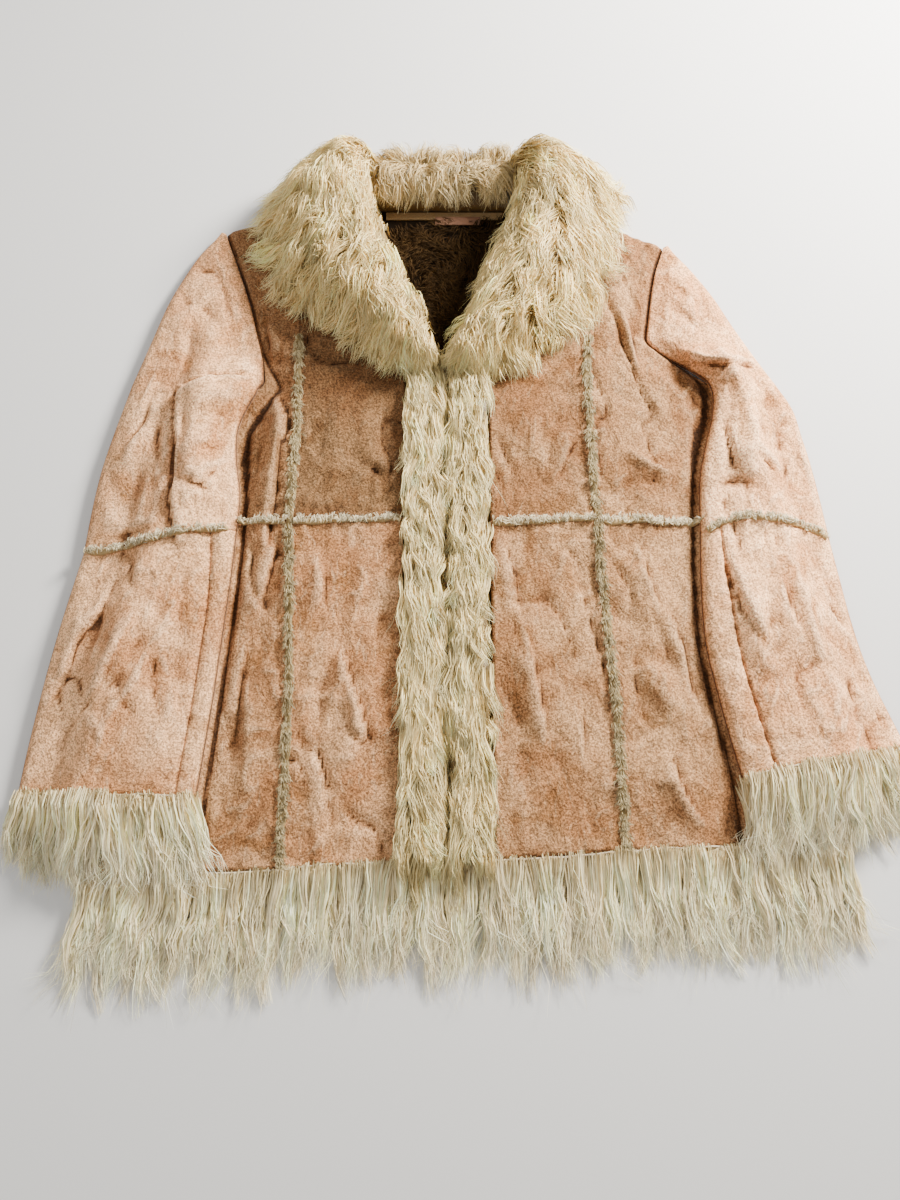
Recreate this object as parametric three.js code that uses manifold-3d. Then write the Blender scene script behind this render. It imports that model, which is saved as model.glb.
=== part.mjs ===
// A shearling coat laid flat on its back, front up, sizes in millimetres.
// X runs to the right as one looks at the front, Y towards the collar, Z up from the surface.
// The origin lies under the back, on the centre line, level with the waist.
import * as THREE from 'three';
import { mergeVertices } from 'three/addons/utils/BufferGeometryUtils.js';
import Module from 'manifold-3d';

const wasm = await Module();
wasm.setup();

// Driving dimensions
const WALL = 5; // suede with the clipped pile on its inside
const SEAM = 0.3; // gap between two pieces that are sewn together
const ARMHOLE_GAP = 0.5; // the same along X at the armhole, which runs at a slant
const ARMHOLE_POINTS = 8; // places on the side of the body down to the underarm
const CLEARANCE = 1.2; // gap under what lies loose on a panel
const WAIST_Y = -6; // seam between the upper and lower fronts
const HEM_Y = -293.7; // hem seam on the centre line
const HEM_TILT = 0.047; // the hem rises to the right by this much a millimetre
const FRONT_LOFT = 4; // how far the fronts stand off the back
const LOFT_FADE = { side: 50, shoulder: 60 }; // distances over which that fades out
const SLEEVE_LOFT = 8; // how far the two sides of a sleeve stand apart
const SLEEVE_WIDTH = 140; // usual width of a sleeve, which turns a length into a share of it
const EDGE_ROUND = 3; // how far a folded edge rounds over
const EDGE_SHARE = 0.07; // share of a sleeve's width over which it does so
const FOLD_FADE = 0.14; // share over which the folds fade out at each edge of a sleeve
const FOOT_MARGIN = 17; // a sleeve keeps its height this far past the body's edge
const FOOT_SLOPE = 0.5; // and then comes down by this much a millimetre
const COLLAR_MARGIN = 24; // and so does the collar
const COVERED = { innerX: 90, endY: -410 }; // inner side and end of what lies under a sleeve
const BAND_HEIGHT = 16; // pile of the front bands
const BAND_SPLIT = 1.2; // X of the line where the two bands meet
const BAND_GAP = 1; // half the gap on that line
const STRIP = 6; // width of the backing that carries a fringe
const FLEECE_HALF_WIDTH = 4; // raw fleece that shows along a seam
const FLEECE_HEIGHT = 3.2;

// Heights of the layers above the surface
const FRONT_FLOOR = WALL + SEAM;
const SLEEVE_FLOOR = FRONT_FLOOR + WALL + 0.6;

const COLORS = {
  suede: 0xc99a78,
  suedeUnder: 0xbd8c68,
  fur: 0xe3d2ab,
  fleece: 0xb9ae86,
  tape: 0xb08a5e,
  tab: 0xb98570,
};

// Each side of the body as X over Y: the neck and band edge, the seam between its two panels,
// the armhole and side seam, and the line past which the sleeve covers it
const BODY = {
  left: {
    sign: -1,
    shoulder: { neckX: -72, neckY: 335, tipX: -212, tipY: 290 },
    neck: [
      { y: 335, x: -72 }, { y: 304, x: -66 }, { y: 274, x: -53 }, { y: 234, x: -37 },
      { y: 205, x: -22 }, { y: 168, x: -13 }, { y: 152, x: -36.5 }, { y: -310, x: -36.5 },
    ],
    seam: [
      { y: 320, x: -140 }, { y: 200, x: -136 }, { y: 84, x: -134 }, { y: -6, x: -137 },
      { y: -82, x: -133 }, { y: -154, x: -130 }, { y: -305, x: -131 },
    ],
    side: [
      { y: 290, x: -212 }, { y: 273, x: -206 }, { y: 255, x: -199 }, { y: 212, x: -184 },
      { y: 176, x: -175 }, { y: 150, x: -168 }, { y: 126, x: -166 }, { y: 108, x: -210 },
      { y: -6, x: -234 }, { y: -310, x: -292 },
    ],
    cover: [
      { y: 290, x: -212 }, { y: 255, x: -199 }, { y: 212, x: -184 }, { y: 176, x: -175 },
      { y: 150, x: -166 }, { y: 126, x: -152 }, { y: 106, x: -166 }, { y: 80, x: -181 },
      { y: 50, x: -184 }, { y: 20, x: -178 }, { y: -18, x: -178 }, { y: -95, x: -183 },
      { y: -165, x: -189 }, { y: -243, x: -197 }, { y: -400, x: -198 },
    ],
    armpit: { y: 126, x: -164 },
    underarm: { y: 110, x: -212 },
    hemEnd: { y: -300, x: -292 },
  },
  right: {
    sign: 1,
    shoulder: { neckX: 72, neckY: 333, tipX: 210, tipY: 275 },
    neck: [
      { y: 333, x: 72 }, { y: 304, x: 66 }, { y: 270, x: 52 }, { y: 234, x: 41 },
      { y: 205, x: 30 }, { y: 168, x: 12 }, { y: 152, x: 40 }, { y: -310, x: 40 },
    ],
    seam: [
      { y: 320, x: 138 }, { y: 188, x: 135 }, { y: 141, x: 130 }, { y: 13, x: 133 },
      { y: -41, x: 135 }, { y: -93, x: 138 }, { y: -169, x: 143 }, { y: -305, x: 146 },
    ],
    side: [
      { y: 275, x: 210 }, { y: 250, x: 201 }, { y: 226, x: 196 }, { y: 196, x: 191 },
      { y: 174, x: 188 }, { y: 158, x: 206 }, { y: 141, x: 227 }, { y: 126, x: 247 },
      { y: -6, x: 271 }, { y: -310, x: 330 },
    ],
    cover: [
      { y: 275, x: 210 }, { y: 250, x: 201 }, { y: 226, x: 196 }, { y: 196, x: 191 },
      { y: 174, x: 188 }, { y: 158, x: 206 }, { y: 141, x: 227 }, { y: 126, x: 243 },
      { y: 95, x: 240 }, { y: 66, x: 231 }, { y: 40, x: 224 }, { y: 16, x: 222 },
      { y: -50, x: 218 }, { y: -120, x: 218 }, { y: -192, x: 230 }, { y: -228, x: 238 },
      { y: -400, x: 248 },
    ],
    armpit: { y: 126, x: 243 },
    underarm: { y: 112, x: 249 },
    hemEnd: { y: -281, x: 325 },
  },
};

// Each sleeve as a row for each section, from its inner edge to its outer edge. A row that is
// sewn to the body gives the place on the armhole instead of a place of its own. loft scales its
// fullness, bow lifts the middle of the row, and strip is how much of the section shows of
// the undersleeve.
const SLEEVES = {
  left: {
    upper: [
      { armhole: 0, outX: -217, outY: 292, loft: 0.1 },
      { armhole: 1, outX: -230, outY: 277, loft: 0.3 },
      { armhole: 2, outX: -241, outY: 261, loft: 0.4 },
      { armhole: 3, outX: -262, outY: 218, loft: 0.8 },
      { armhole: 4, outX: -275, outY: 178, loft: 1 },
      { armhole: 5, outX: -284, outY: 149, loft: 1 },
      { armhole: 6, outX: -290, outY: 130, loft: 1 },
      { inX: -172, inY: 118, outX: -293, outY: 118, loft: 1 },
      { inX: -186, inY: 84, outX: -301, outY: 86, loft: 1 },
      { inX: -186, inY: 50, outX: -309, outY: 50, loft: 1 },
      { inX: -181, inY: 18, outX: -314, outY: 14, loft: 0.9 },
      { inX: -182, inY: -16, outX: -318, outY: -34, loft: 0.8 },
    ],
    lower: [
      { inX: -182, inY: -16.5, outX: -318, outY: -34.5, loft: 0.8, strip: 0.15 },
      { inX: -184, inY: -55, outX: -325, outY: -68, loft: 0.9, strip: 0.12 },
      { inX: -187, inY: -93, outX: -332, outY: -104, loft: 1, strip: 0.1 },
      { inX: -190, inY: -130, outX: -338, outY: -140, loft: 1, strip: 0.1 },
      { inX: -193, inY: -167, outX: -343, outY: -176, loft: 0.9, strip: 0.1 },
      { inX: -197, inY: -205, outX: -347, outY: -208, loft: 0.9, strip: 0.1 },
      { inX: -201, inY: -243, outX: -350, outY: -239, loft: 0.8, strip: 0.1 },
    ],
  },
  right: {
    upper: [
      { armhole: 0, outX: 215, outY: 277, loft: 0.1 },
      { armhole: 1, outX: 236, outY: 251, loft: 0.4 },
      { armhole: 2, outX: 256, outY: 220, loft: 0.8 },
      { armhole: 3, outX: 270, outY: 193, loft: 1 },
      { armhole: 4, outX: 282, outY: 171, loft: 1 },
      { armhole: 5, outX: 295, outY: 148, loft: 1 },
      { armhole: 6, outX: 308, outY: 126, loft: 1 },
      { inX: 243, inY: 122, outX: 320, outY: 103, loft: 1 },
      { inX: 242, inY: 95, outX: 325, outY: 79, loft: 1 },
      { inX: 234, inY: 66, outX: 330, outY: 54, loft: 1 },
      { inX: 226, inY: 30, outX: 335, outY: 20, loft: 0.9 },
      { inX: 223, inY: -19, outX: 340, outY: -22, loft: 0.8, bow: 14 },
    ],
    lower: [
      { inX: 223, inY: -19.5, outX: 340, outY: -22.5, loft: 0.8, bow: 14, strip: 0.13 },
      { inX: 221, inY: -52, outX: 345, outY: -58, loft: 0.9, bow: 8, strip: 0.15 },
      { inX: 220, inY: -86, outX: 350, outY: -92, loft: 1, bow: 4, strip: 0.17 },
      { inX: 221, inY: -121, outX: 356, outY: -122, loft: 1, bow: 2, strip: 0.18 },
      { inX: 227, inY: -156, outX: 364, outY: -150, loft: 0.9, bow: 2, strip: 0.18 },
      { inX: 234, inY: -192, outX: 374, outY: -177, loft: 0.9, bow: 2, strip: 0.18 },
      { inX: 242, inY: -228, outX: 384, outY: -203, loft: 0.8, bow: 2, strip: 0.18 },
    ],
  },
};
const TOP_COLUMNS = [0, 0.04, 0.13, 0.24, 0.36, 0.48, 0.6, 0.72, 0.84, 0.95, 1];
const NEAR_EDGE = 0.012; // share across a sleeve where its edge starts to turn under
const UNDER_COLUMNS = [0, 0.1, 0.2, 0.3, 0.4, 0.5, 0.6, 0.7, 0.8, 0.9, 1];

// The largest folds: a soft ridge or trough of this height along a line
const SLEEVE_FOLDS = [
  { x1: -172, y1: 108, x2: -213, y2: 104, width: 20, height: 6 },
  { x1: -214, y1: 98, x2: -221, y2: 20, width: 20, height: 7 },
  { x1: -205, y1: 200, x2: -226, y2: 146, width: 18, height: 4 },
  { x1: -238, y1: 118, x2: -240, y2: 30, width: 13, height: -4 },
  { x1: -272, y1: 146, x2: -290, y2: 30, width: 18, height: 3 },
  { x1: -300, y1: -150, x2: -250, y2: -80, width: 18, height: 3.5 },
  { x1: 248, y1: 160, x2: 276, y2: 112, width: 18, height: 6 },
  { x1: 274, y1: 104, x2: 268, y2: 20, width: 18, height: 5 },
  { x1: 300, y1: 86, x2: 308, y2: 20, width: 14, height: -4 },
  { x1: 252, y1: -50, x2: 270, y2: -150, width: 17, height: 3.5 },
  { x1: 296, y1: -65, x2: 334, y2: -155, width: 17, height: 4 },
];
const FRONT_FOLDS = [
  { x1: -158, y1: 190, x2: -150, y2: 150, width: 14, height: 4 },
  { x1: -147, y1: 98, x2: -151, y2: 20, width: 15, height: 6 },
  { x1: -52, y1: -120, x2: -93, y2: -246, width: 20, height: 4 },
  { x1: -160, y1: -156, x2: -163, y2: -246, width: 17, height: 4 },
  { x1: 66, y1: -78, x2: 78, y2: -214, width: 19, height: 3.5 },
  { x1: 158, y1: -110, x2: 198, y2: -190, width: 18, height: 4 },
  { x1: 56, y1: 116, x2: 84, y2: 44, width: 17, height: 3 },
];

// Each collar roll as a row for each section, from the neck edge to its outer edge
const COLLARS = {
  left: [
    { inX: -8, inY: 148, outX: -44, outY: 149, crown: 24 },
    { inX: -13, inY: 168, outX: -84, outY: 169, crown: 34 },
    { inX: -18, inY: 192, outX: -124, outY: 187, crown: 42 },
    { inX: -28, inY: 217, outX: -160, outY: 211, crown: 47 },
    { inX: -41, inY: 244, outX: -181, outY: 242, crown: 50 },
    { inX: -54, inY: 275, outX: -186, outY: 272, crown: 52 },
    { inX: -65, inY: 302, outX: -188, outY: 298, crown: 54 },
    { inX: -71, inY: 325, outX: -176, outY: 325, crown: 54 },
    { inX: -72, inY: 345, outX: -154, outY: 351, crown: 52 },
    { inX: -71, inY: 362, outX: -120, outY: 371, crown: 44 },
    { inX: -69, inY: 377, outX: -90, outY: 383, crown: 30 },
  ],
  right: [
    { inX: 6, inY: 152, outX: 36, outY: 143, crown: 24 },
    { inX: 14, inY: 172, outX: 80, outY: 151, crown: 34 },
    { inX: 24, inY: 196, outX: 118, outY: 169, crown: 42 },
    { inX: 35, inY: 222, outX: 147, outY: 200, crown: 47 },
    { inX: 45, inY: 250, outX: 163, outY: 238, crown: 50 },
    { inX: 54, inY: 275, outX: 172, outY: 268, crown: 52 },
    { inX: 66, inY: 302, outX: 171, outY: 298, crown: 54 },
    { inX: 69, inY: 325, outX: 182, outY: 326, crown: 54 },
    { inX: 66, inY: 345, outX: 172, outY: 352, crown: 52 },
    { inX: 64, inY: 362, outX: 134, outY: 372, crown: 44 },
    { inX: 63, inY: 378, outX: 96, outY: 396, crown: 28 },
  ],
};
const COLLAR_COLUMNS = [0, 0.05, 0.16, 0.3, 0.45, 0.6, 0.75, 0.88, 1];
const COLLAR_EDGE = 9; // thickness at the outer edge of a roll
const COLLAR_BACK = { bottomY: 318.3, topY: 376, minX: -65, maxX: 58, crown: 34, edge: 14 };

// The top edge of the back, over the shoulders and along the neck
const BACK_TOP = [
  { x: -212, y: 290 }, { x: -172, y: 303 }, { x: -135, y: 315 }, { x: -80, y: 333 },
  { x: -68, y: 318 }, { x: 0, y: 318 }, { x: 64, y: 318 }, { x: 78, y: 331 },
  { x: 132, y: 308 }, { x: 172, y: 291 }, { x: 210, y: 275 },
];
const TAPE = { minX: -58, maxX: 56, minY: 309, maxY: 317, thickness: 1.4 };
const TAB = { minX: -10, maxX: 34, minY: 302, maxY: 311, thickness: 1.2 };

// The bands of fur down the front edges, and the welts of raw fleece over the seams
const BAND_TOP_Y = 141;
const BAND_ROWS = 16;
const BAND_COLUMNS = [0, 0.14, 0.38, 0.64, 0.87, 1];
const WELT_TOP_Y = 178;

// Rows of the fronts, as Y on the neck edge of the left one, and as shares of the lower ones
const UPPER_ROWS = [335, 304, 274, 234, 205, 168, 152, 115, 85, 55, 25, WAIST_Y];
const LOWER_ROWS = [0, 0.12, 0.24, 0.36, 0.48, 0.6, 0.72, 0.84, 0.93, 1];

// Fringes: how many locks, how far they reach and how thick they are
const HEM_LOCKS = 58;
const CUFF_LOCKS = 14;
const HEM_FRONT_REACH = 74;
const HEM_BACK_REACH = 92;
const CUFF_REACH = 76;
const LOCK_GAP = 1.5; // space between two locks at their roots
const HEM_SHOWS = { minX: -184, maxX: 236 }; // part of the front's hem that no sleeve covers
const LOCK_RISE = { front: 7, covered: 3.4, back: 4.2, cuffUnder: 3.6 };

const clamp01 = (t) => Math.min(1, Math.max(0, t));
const lerp = (a, b, t) => a + (b - a) * t;
const smooth = (t) => clamp01(t) ** 2 * (3 - 2 * clamp01(t));
const hemY = (x) => HEM_Y + HEM_TILT * x;

// An even spread of numbers between 0 and 1 that looks uneven
const scatter = (i, salt) => {
  const value = Math.sin(i * 12.9898 + salt * 78.233) * 43758.5453;
  return value - Math.floor(value);
};

// The value of one column of a table whose rows run down in Y
function atY(rows, y) {
  if (y >= rows[0].y) return rows[0].x;
  for (let i = 1; i < rows.length; i += 1) {
    if (y >= rows[i].y) {
      const t = (rows[i - 1].y - y) / (rows[i - 1].y - rows[i].y);
      return lerp(rows[i - 1].x, rows[i].x, t);
    }
  }
  return rows[rows.length - 1].x;
}

function segmentDistance(x, y, a, b) {
  const dx = b.x - a.x;
  const dy = b.y - a.y;
  const t = clamp01(((x - a.x) * dx + (y - a.y) * dy) / (dx * dx + dy * dy));
  return { distance: Math.hypot(x - a.x - t * dx, y - a.y - t * dy), t };
}

function insidePolygon(x, y, points) {
  let inside = false;
  points.forEach((a, i) => {
    const b = points[(i + 1) % points.length];
    const crosses = a.y > y !== b.y > y;
    if (crosses && x < ((b.x - a.x) * (y - a.y)) / (b.y - a.y) + a.x) inside = !inside;
  });
  return inside;
}

// How far a point lies outside a polygon, 0 within it
function distanceOutside(x, y, points) {
  if (insidePolygon(x, y, points)) return 0;
  const edges = points.map((a, i) => segmentDistance(x, y, a, points[(i + 1) % points.length]));
  return Math.min(...edges.map((edge) => edge.distance));
}

function foldHeight(folds, x, y) {
  return folds.reduce((sum, fold) => {
    const from = { x: fold.x1, y: fold.y1 };
    const to = { x: fold.x2, y: fold.y2 };
    const { distance, t } = segmentDistance(x, y, from, to);
    if (distance >= fold.width) return sum;
    const across = 0.5 + 0.5 * Math.cos((Math.PI * distance) / fold.width);
    return sum + fold.height * across * (0.4 + 0.6 * Math.sin(Math.PI * t));
  }, 0);
}

// A closed wall between two grids of points, seen from above as nu columns by nv rows
function wallGeometry(nu, nv, upper, lower) {
  const positions = [];
  const index = [];
  const rowLength = nu + 1;
  const layer = rowLength * (nv + 1);
  for (const face of [upper, lower]) {
    for (let j = 0; j <= nv; j += 1) {
      for (let i = 0; i <= nu; i += 1) positions.push(...face(i, j));
    }
  }
  const quad = (a, b, c, d) => index.push(a, b, c, a, c, d);
  const id = (i, j, k) => k * layer + j * rowLength + i;
  for (let j = 0; j < nv; j += 1) {
    for (let i = 0; i < nu; i += 1) {
      quad(id(i, j, 0), id(i, j + 1, 0), id(i + 1, j + 1, 0), id(i + 1, j, 0));
      quad(id(i, j, 1), id(i + 1, j, 1), id(i + 1, j + 1, 1), id(i, j + 1, 1));
    }
    quad(id(0, j, 0), id(0, j, 1), id(0, j + 1, 1), id(0, j + 1, 0));
    quad(id(nu, j, 0), id(nu, j + 1, 0), id(nu, j + 1, 1), id(nu, j, 1));
  }
  for (let i = 0; i < nu; i += 1) {
    quad(id(i, 0, 0), id(i + 1, 0, 0), id(i + 1, 0, 1), id(i, 0, 1));
    quad(id(i, nv, 0), id(i, nv, 1), id(i + 1, nv, 1), id(i + 1, nv, 0));
  }
  const geometry = new THREE.BufferGeometry();
  geometry.setAttribute('position', new THREE.Float32BufferAttribute(positions, 3));
  geometry.setIndex(index);
  return facingOut(geometry);
}

// Turns the faces of a closed geometry round if its volume comes out negative
function facingOut(geometry) {
  const p = geometry.attributes.position;
  const index = geometry.index.array;
  const corners = [new THREE.Vector3(), new THREE.Vector3(), new THREE.Vector3()];
  let volume = 0;
  for (let i = 0; i < index.length; i += 3) {
    corners.forEach((corner, k) => corner.fromBufferAttribute(p, index[i + k]));
    volume += corners[0].dot(corners[1].clone().cross(corners[2]));
  }
  if (volume < 0) {
    for (let i = 0; i < index.length; i += 3) [index[i], index[i + 1]] = [index[i + 1], index[i]];
  }
  return geometry;
}

function toSolid(geometry) {
  const bare = geometry.clone();
  bare.deleteAttribute('normal');
  bare.deleteAttribute('uv');
  const merged = mergeVertices(bare, 1e-4);
  return new wasm.Manifold(new wasm.Mesh({
    numProp: 3,
    vertProperties: new Float32Array(merged.attributes.position.array),
    triVerts: new Uint32Array(merged.index.array),
  }));
}

function toGeometry(solid) {
  const mesh = solid.getMesh();
  const geometry = new THREE.BufferGeometry();
  geometry.setAttribute('position', new THREE.Float32BufferAttribute(mesh.vertProperties, 3));
  geometry.setIndex(Array.from(mesh.triVerts));
  return geometry;
}

const coat = new THREE.Group();

function addPiece(name, geometry, color, roughness = 0.9) {
  geometry.computeVertexNormals();
  const material = new THREE.MeshStandardMaterial({ color, roughness, metalness: 0 });
  const mesh = new THREE.Mesh(geometry, material);
  mesh.name = name;
  coat.add(mesh);
}

// Y of the shoulder seam at one X of a side
function shoulderY(body, x) {
  const { neckX, neckY, tipX, tipY } = body.shoulder;
  return lerp(neckY, tipY, clamp01((x - neckX) / (tipX - neckX)));
}

// How far a front stands off the back: nothing at the armhole, the sleeve and the shoulder
function frontLoft(x, y) {
  const body = x < 0 ? BODY.left : BODY.right;
  const fromCover = body.sign * (atY(body.cover, y) - x);
  const fromShoulder = shoulderY(body, x) - y;
  return FRONT_LOFT * smooth(fromCover / LOFT_FADE.side) * smooth(fromShoulder / LOFT_FADE.shoulder);
}

// The folds fade out before the sleeve, so that it lies on flat cloth
function frontFloor(x, y) {
  const body = x < 0 ? BODY.left : BODY.right;
  const fade = clamp01((body.sign * (atY(body.cover, y) - x) - 4) / 12);
  return FRONT_FLOOR + frontLoft(x, y) + fade * foldHeight(FRONT_FOLDS, x, y);
}

const frontTop = (x, y) => frontFloor(x, y) + WALL;

// The part of the body that lies under a sleeve and its cuff, down past the hem fringe
function coveredBody(body) {
  const innerX = body.sign * COVERED.innerX;
  return [
    body.armpit,
    body.underarm,
    body.hemEnd,
    { x: body.hemEnd.x + body.sign * 4, y: COVERED.endY },
    { x: innerX, y: COVERED.endY },
    { x: innerX, y: body.armpit.y },
  ];
}

// Height of what a sleeve lies on: the front, and past its edge the surface
function sleeveFloor(body, x, y) {
  const outside = distanceOutside(x, y, coveredBody(body));
  return Math.max(0, SLEEVE_FLOOR - FOOT_SLOPE * Math.max(0, outside - FOOT_MARGIN));
}

// Height of what the collar lies on: the fronts, and past the shoulders the surface
function collarFloor(x, y) {
  const outline = [];
  for (const body of [BODY.left, BODY.right]) {
    const { neckX, neckY, tipX, tipY } = body.shoulder;
    const side = [{ x: neckX, y: neckY }, { x: tipX, y: tipY }, { x: tipX, y: 0 }];
    outline.push(...(body.sign < 0 ? side : side.reverse()));
  }
  const outside = Math.max(0, distanceOutside(x, y, outline) - COLLAR_MARGIN);
  return Math.max(0, frontTop(x, y) + CLEARANCE - outside);
}

// The points of an edge given as X over Y, at shares of the way from one Y to another
function edgePoints(table, topY, bottomY, shares) {
  return shares.map((share) => {
    const y = lerp(topY, bottomY, share);
    return { x: atY(table, y), y };
  });
}

// A front panel between two edges, drawn in by half a seam on each side
function frontPanel(name, sign, inner, outer, columns) {
  const gap = (sign * SEAM) / 2;
  const place = (i, j) => {
    const u = i / columns;
    const x = lerp(inner[j].x, outer[j].x, u) + gap * (1 - 2 * u);
    return [x, lerp(inner[j].y, outer[j].y, u)];
  };
  const geometry = wallGeometry(
    columns,
    inner.length - 1,
    (i, j) => [...place(i, j), frontTop(...place(i, j))],
    (i, j) => [...place(i, j), frontFloor(...place(i, j))],
  );
  addPiece(name, geometry, COLORS.suede);
}

// The points of one side of the body from the shoulder to a Y below the underarm: the places
// on the armhole, and then even steps
function sidePoints(body, bottomY, count) {
  const armhole = body.side.slice(0, ARMHOLE_POINTS);
  const steps = Array.from({ length: count - ARMHOLE_POINTS }, (_, i) => {
    const share = (i + 1) / (count - ARMHOLE_POINTS);
    const y = lerp(armhole[ARMHOLE_POINTS - 1].y, bottomY, share);
    return { x: atY(body.side, y), y };
  });
  return [...armhole, ...steps];
}

// The four panels of one front, and the points of the seam between them
function addFront(side) {
  const body = BODY[side];
  const { neckY } = body.shoulder;
  const waist = WAIST_Y + SEAM / 2;
  const topY = UPPER_ROWS[0];
  const upper = UPPER_ROWS.map((y) => (topY - y) / (topY - WAIST_Y));
  const seamTopY = shoulderY(body, atY(body.seam, WELT_TOP_Y));
  const seam = edgePoints(body.seam, seamTopY, waist, upper);
  const neck = edgePoints(body.neck, neckY, waist, upper);
  const armhole = sidePoints(body, waist, UPPER_ROWS.length);
  frontPanel(`front_${side}_centre_upper`, body.sign, neck, seam, 6);
  frontPanel(`front_${side}_side_upper`, body.sign, seam, armhole, 7);

  const below = WAIST_Y - SEAM / 2;
  const lowerEdge = (table) => {
    const endY = hemY(atY(table, HEM_Y));
    return edgePoints(table, below, endY, LOWER_ROWS);
  };
  const lowerSeam = lowerEdge(body.seam);
  frontPanel(`front_${side}_centre_lower`, body.sign, lowerEdge(body.neck), lowerSeam, 6);
  frontPanel(`front_${side}_side_lower`, body.sign, lowerSeam, lowerEdge(body.side), 6);
  return [...seam, ...lowerSeam];
}

function addBack() {
  const left = BACK_TOP[0];
  const right = BACK_TOP[BACK_TOP.length - 1];
  const rows = ARMHOLE_POINTS + 4;
  const sides = [BODY.left, BODY.right].map((body) => (
    sidePoints(body, hemY(atY(body.side, HEM_Y)), rows)
  ));
  const place = (i, j) => {
    const u = (BACK_TOP[i].x - left.x) / (right.x - left.x);
    const [a, b] = [sides[0][j], sides[1][j]];
    const rise = BACK_TOP[i].y - lerp(left.y, right.y, u);
    return [lerp(a.x, b.x, u), lerp(a.y, b.y, u) + rise * (1 - j / (rows - 1)) ** 2];
  };
  const geometry = wallGeometry(
    BACK_TOP.length - 1,
    rows - 1,
    (i, j) => [...place(i, j), WALL],
    (i, j) => [...place(i, j), 0],
  );
  addPiece('back', geometry, COLORS.suedeUnder);
}

// How far an edge of a sleeve stands back from its full height, at u across it
const edgeDrop = (u) => EDGE_ROUND * (1 - smooth(Math.min(u, 1 - u) / EDGE_SHARE));

function sleevePlace(row, u) {
  const bow = 4 * (row.bow ?? 0) * u * (1 - u);
  return [lerp(row.inX, row.outX, u), lerp(row.inY, row.outY, u) + bow];
}

// The rows of a sleeve, with the places of those that are sewn to the armhole filled in
function sleeveRows(body, rows) {
  return rows.map((row) => {
    if (row.armhole === undefined) return row;
    const { x, y } = body.side[row.armhole];
    return { ...row, inX: x + body.sign * ARMHOLE_GAP, inY: y };
  });
}

// Height of the inside of the top of a sleeve
function sleeveLining(body, row, u) {
  const [x, y] = sleevePlace(row, u);
  const fade = smooth(Math.min(u, 1 - u) / FOLD_FADE);
  const full = SLEEVE_LOFT * row.loft * Math.sin(Math.PI * u) ** 0.8;
  const gap = Math.max(SEAM, SEAM + full + fade * foldHeight(SLEEVE_FOLDS, x, y));
  return sleeveFloor(body, x, y) + WALL + gap;
}

const sleeveTop = (body, row, u) => sleeveLining(body, row, u) + WALL - edgeDrop(u);

// The top of a sleeve: rows, from this share across it to its outer edge
function sleeveTopPiece(name, body, rows, start) {
  const share = (i, j) => lerp(start(rows[j]), 1, TOP_COLUMNS[i]);
  const geometry = wallGeometry(
    TOP_COLUMNS.length - 1,
    rows.length - 1,
    (i, j) => [...sleevePlace(rows[j], share(i, j)), sleeveTop(body, rows[j], share(i, j))],
    (i, j) => [...sleevePlace(rows[j], share(i, j)), sleeveLining(body, rows[j], share(i, j))],
  );
  addPiece(name, geometry, COLORS.suede);
}

// The upper undersleeve, a plain wall
function undersleeveUpper(name, body, rows) {
  const face = (lift) => (i, j) => {
    const [x, y] = sleevePlace(rows[j], UNDER_COLUMNS[i]);
    return [x, y, sleeveFloor(body, x, y) + lift];
  };
  const geometry = wallGeometry(UNDER_COLUMNS.length - 1, rows.length - 1, face(WALL), face(0));
  addPiece(name, geometry, COLORS.suedeUnder);
}

// The lower undersleeve, which comes round the inner edge and shows as a strip on top
function undersleeveLower(name, body, rows) {
  const turn = WALL / SLEEVE_WIDTH;
  const seamShare = (row) => row.strip - SEAM / SLEEVE_WIDTH;
  const strips = [
    (row) => seamShare(row),
    (row) => lerp(seamShare(row), turn, 0.5),
    () => NEAR_EDGE,
  ];
  const under = [NEAR_EDGE, ...UNDER_COLUMNS.slice(1)];
  const last = strips.length + under.length;
  const outer = (i, j) => {
    const row = rows[j];
    if (i < strips.length) {
      const u = strips[i](row);
      return [...sleevePlace(row, u), sleeveTop(body, row, u)];
    }
    const u = i === strips.length ? 0 : under[i - strips.length - 1];
    const [x, y] = sleevePlace(row, u);
    const lift = i === strips.length ? WALL : 0;
    return [x, y, sleeveFloor(body, x, y) + lift];
  };
  const inner = (i, j) => {
    const row = rows[j];
    if (i < strips.length) {
      const u = Math.max(turn, strips[i](row));
      return [...sleevePlace(row, u), sleeveLining(body, row, u)];
    }
    const u = i === strips.length ? turn : Math.max(turn, under[i - strips.length - 1]);
    const [x, y] = sleevePlace(row, u);
    const lift = i === strips.length ? SEAM / 2 : 0;
    return [x, y, sleeveFloor(body, x, y) + WALL + lift];
  };
  addPiece(name, wallGeometry(last, rows.length - 1, outer, inner), COLORS.suedeUnder);
}

function addSleeve(side) {
  const body = BODY[side];
  const { lower } = SLEEVES[side];
  const upper = sleeveRows(body, SLEEVES[side].upper);
  sleeveTopPiece(`sleeve_${side}_top_upper`, body, upper, () => 0);
  sleeveTopPiece(`sleeve_${side}_top_lower`, body, lower, (row) => row.strip);
  undersleeveUpper(`sleeve_${side}_under_upper`, body, upper);
  undersleeveLower(`sleeve_${side}_under_lower`, body, lower);
}

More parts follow.
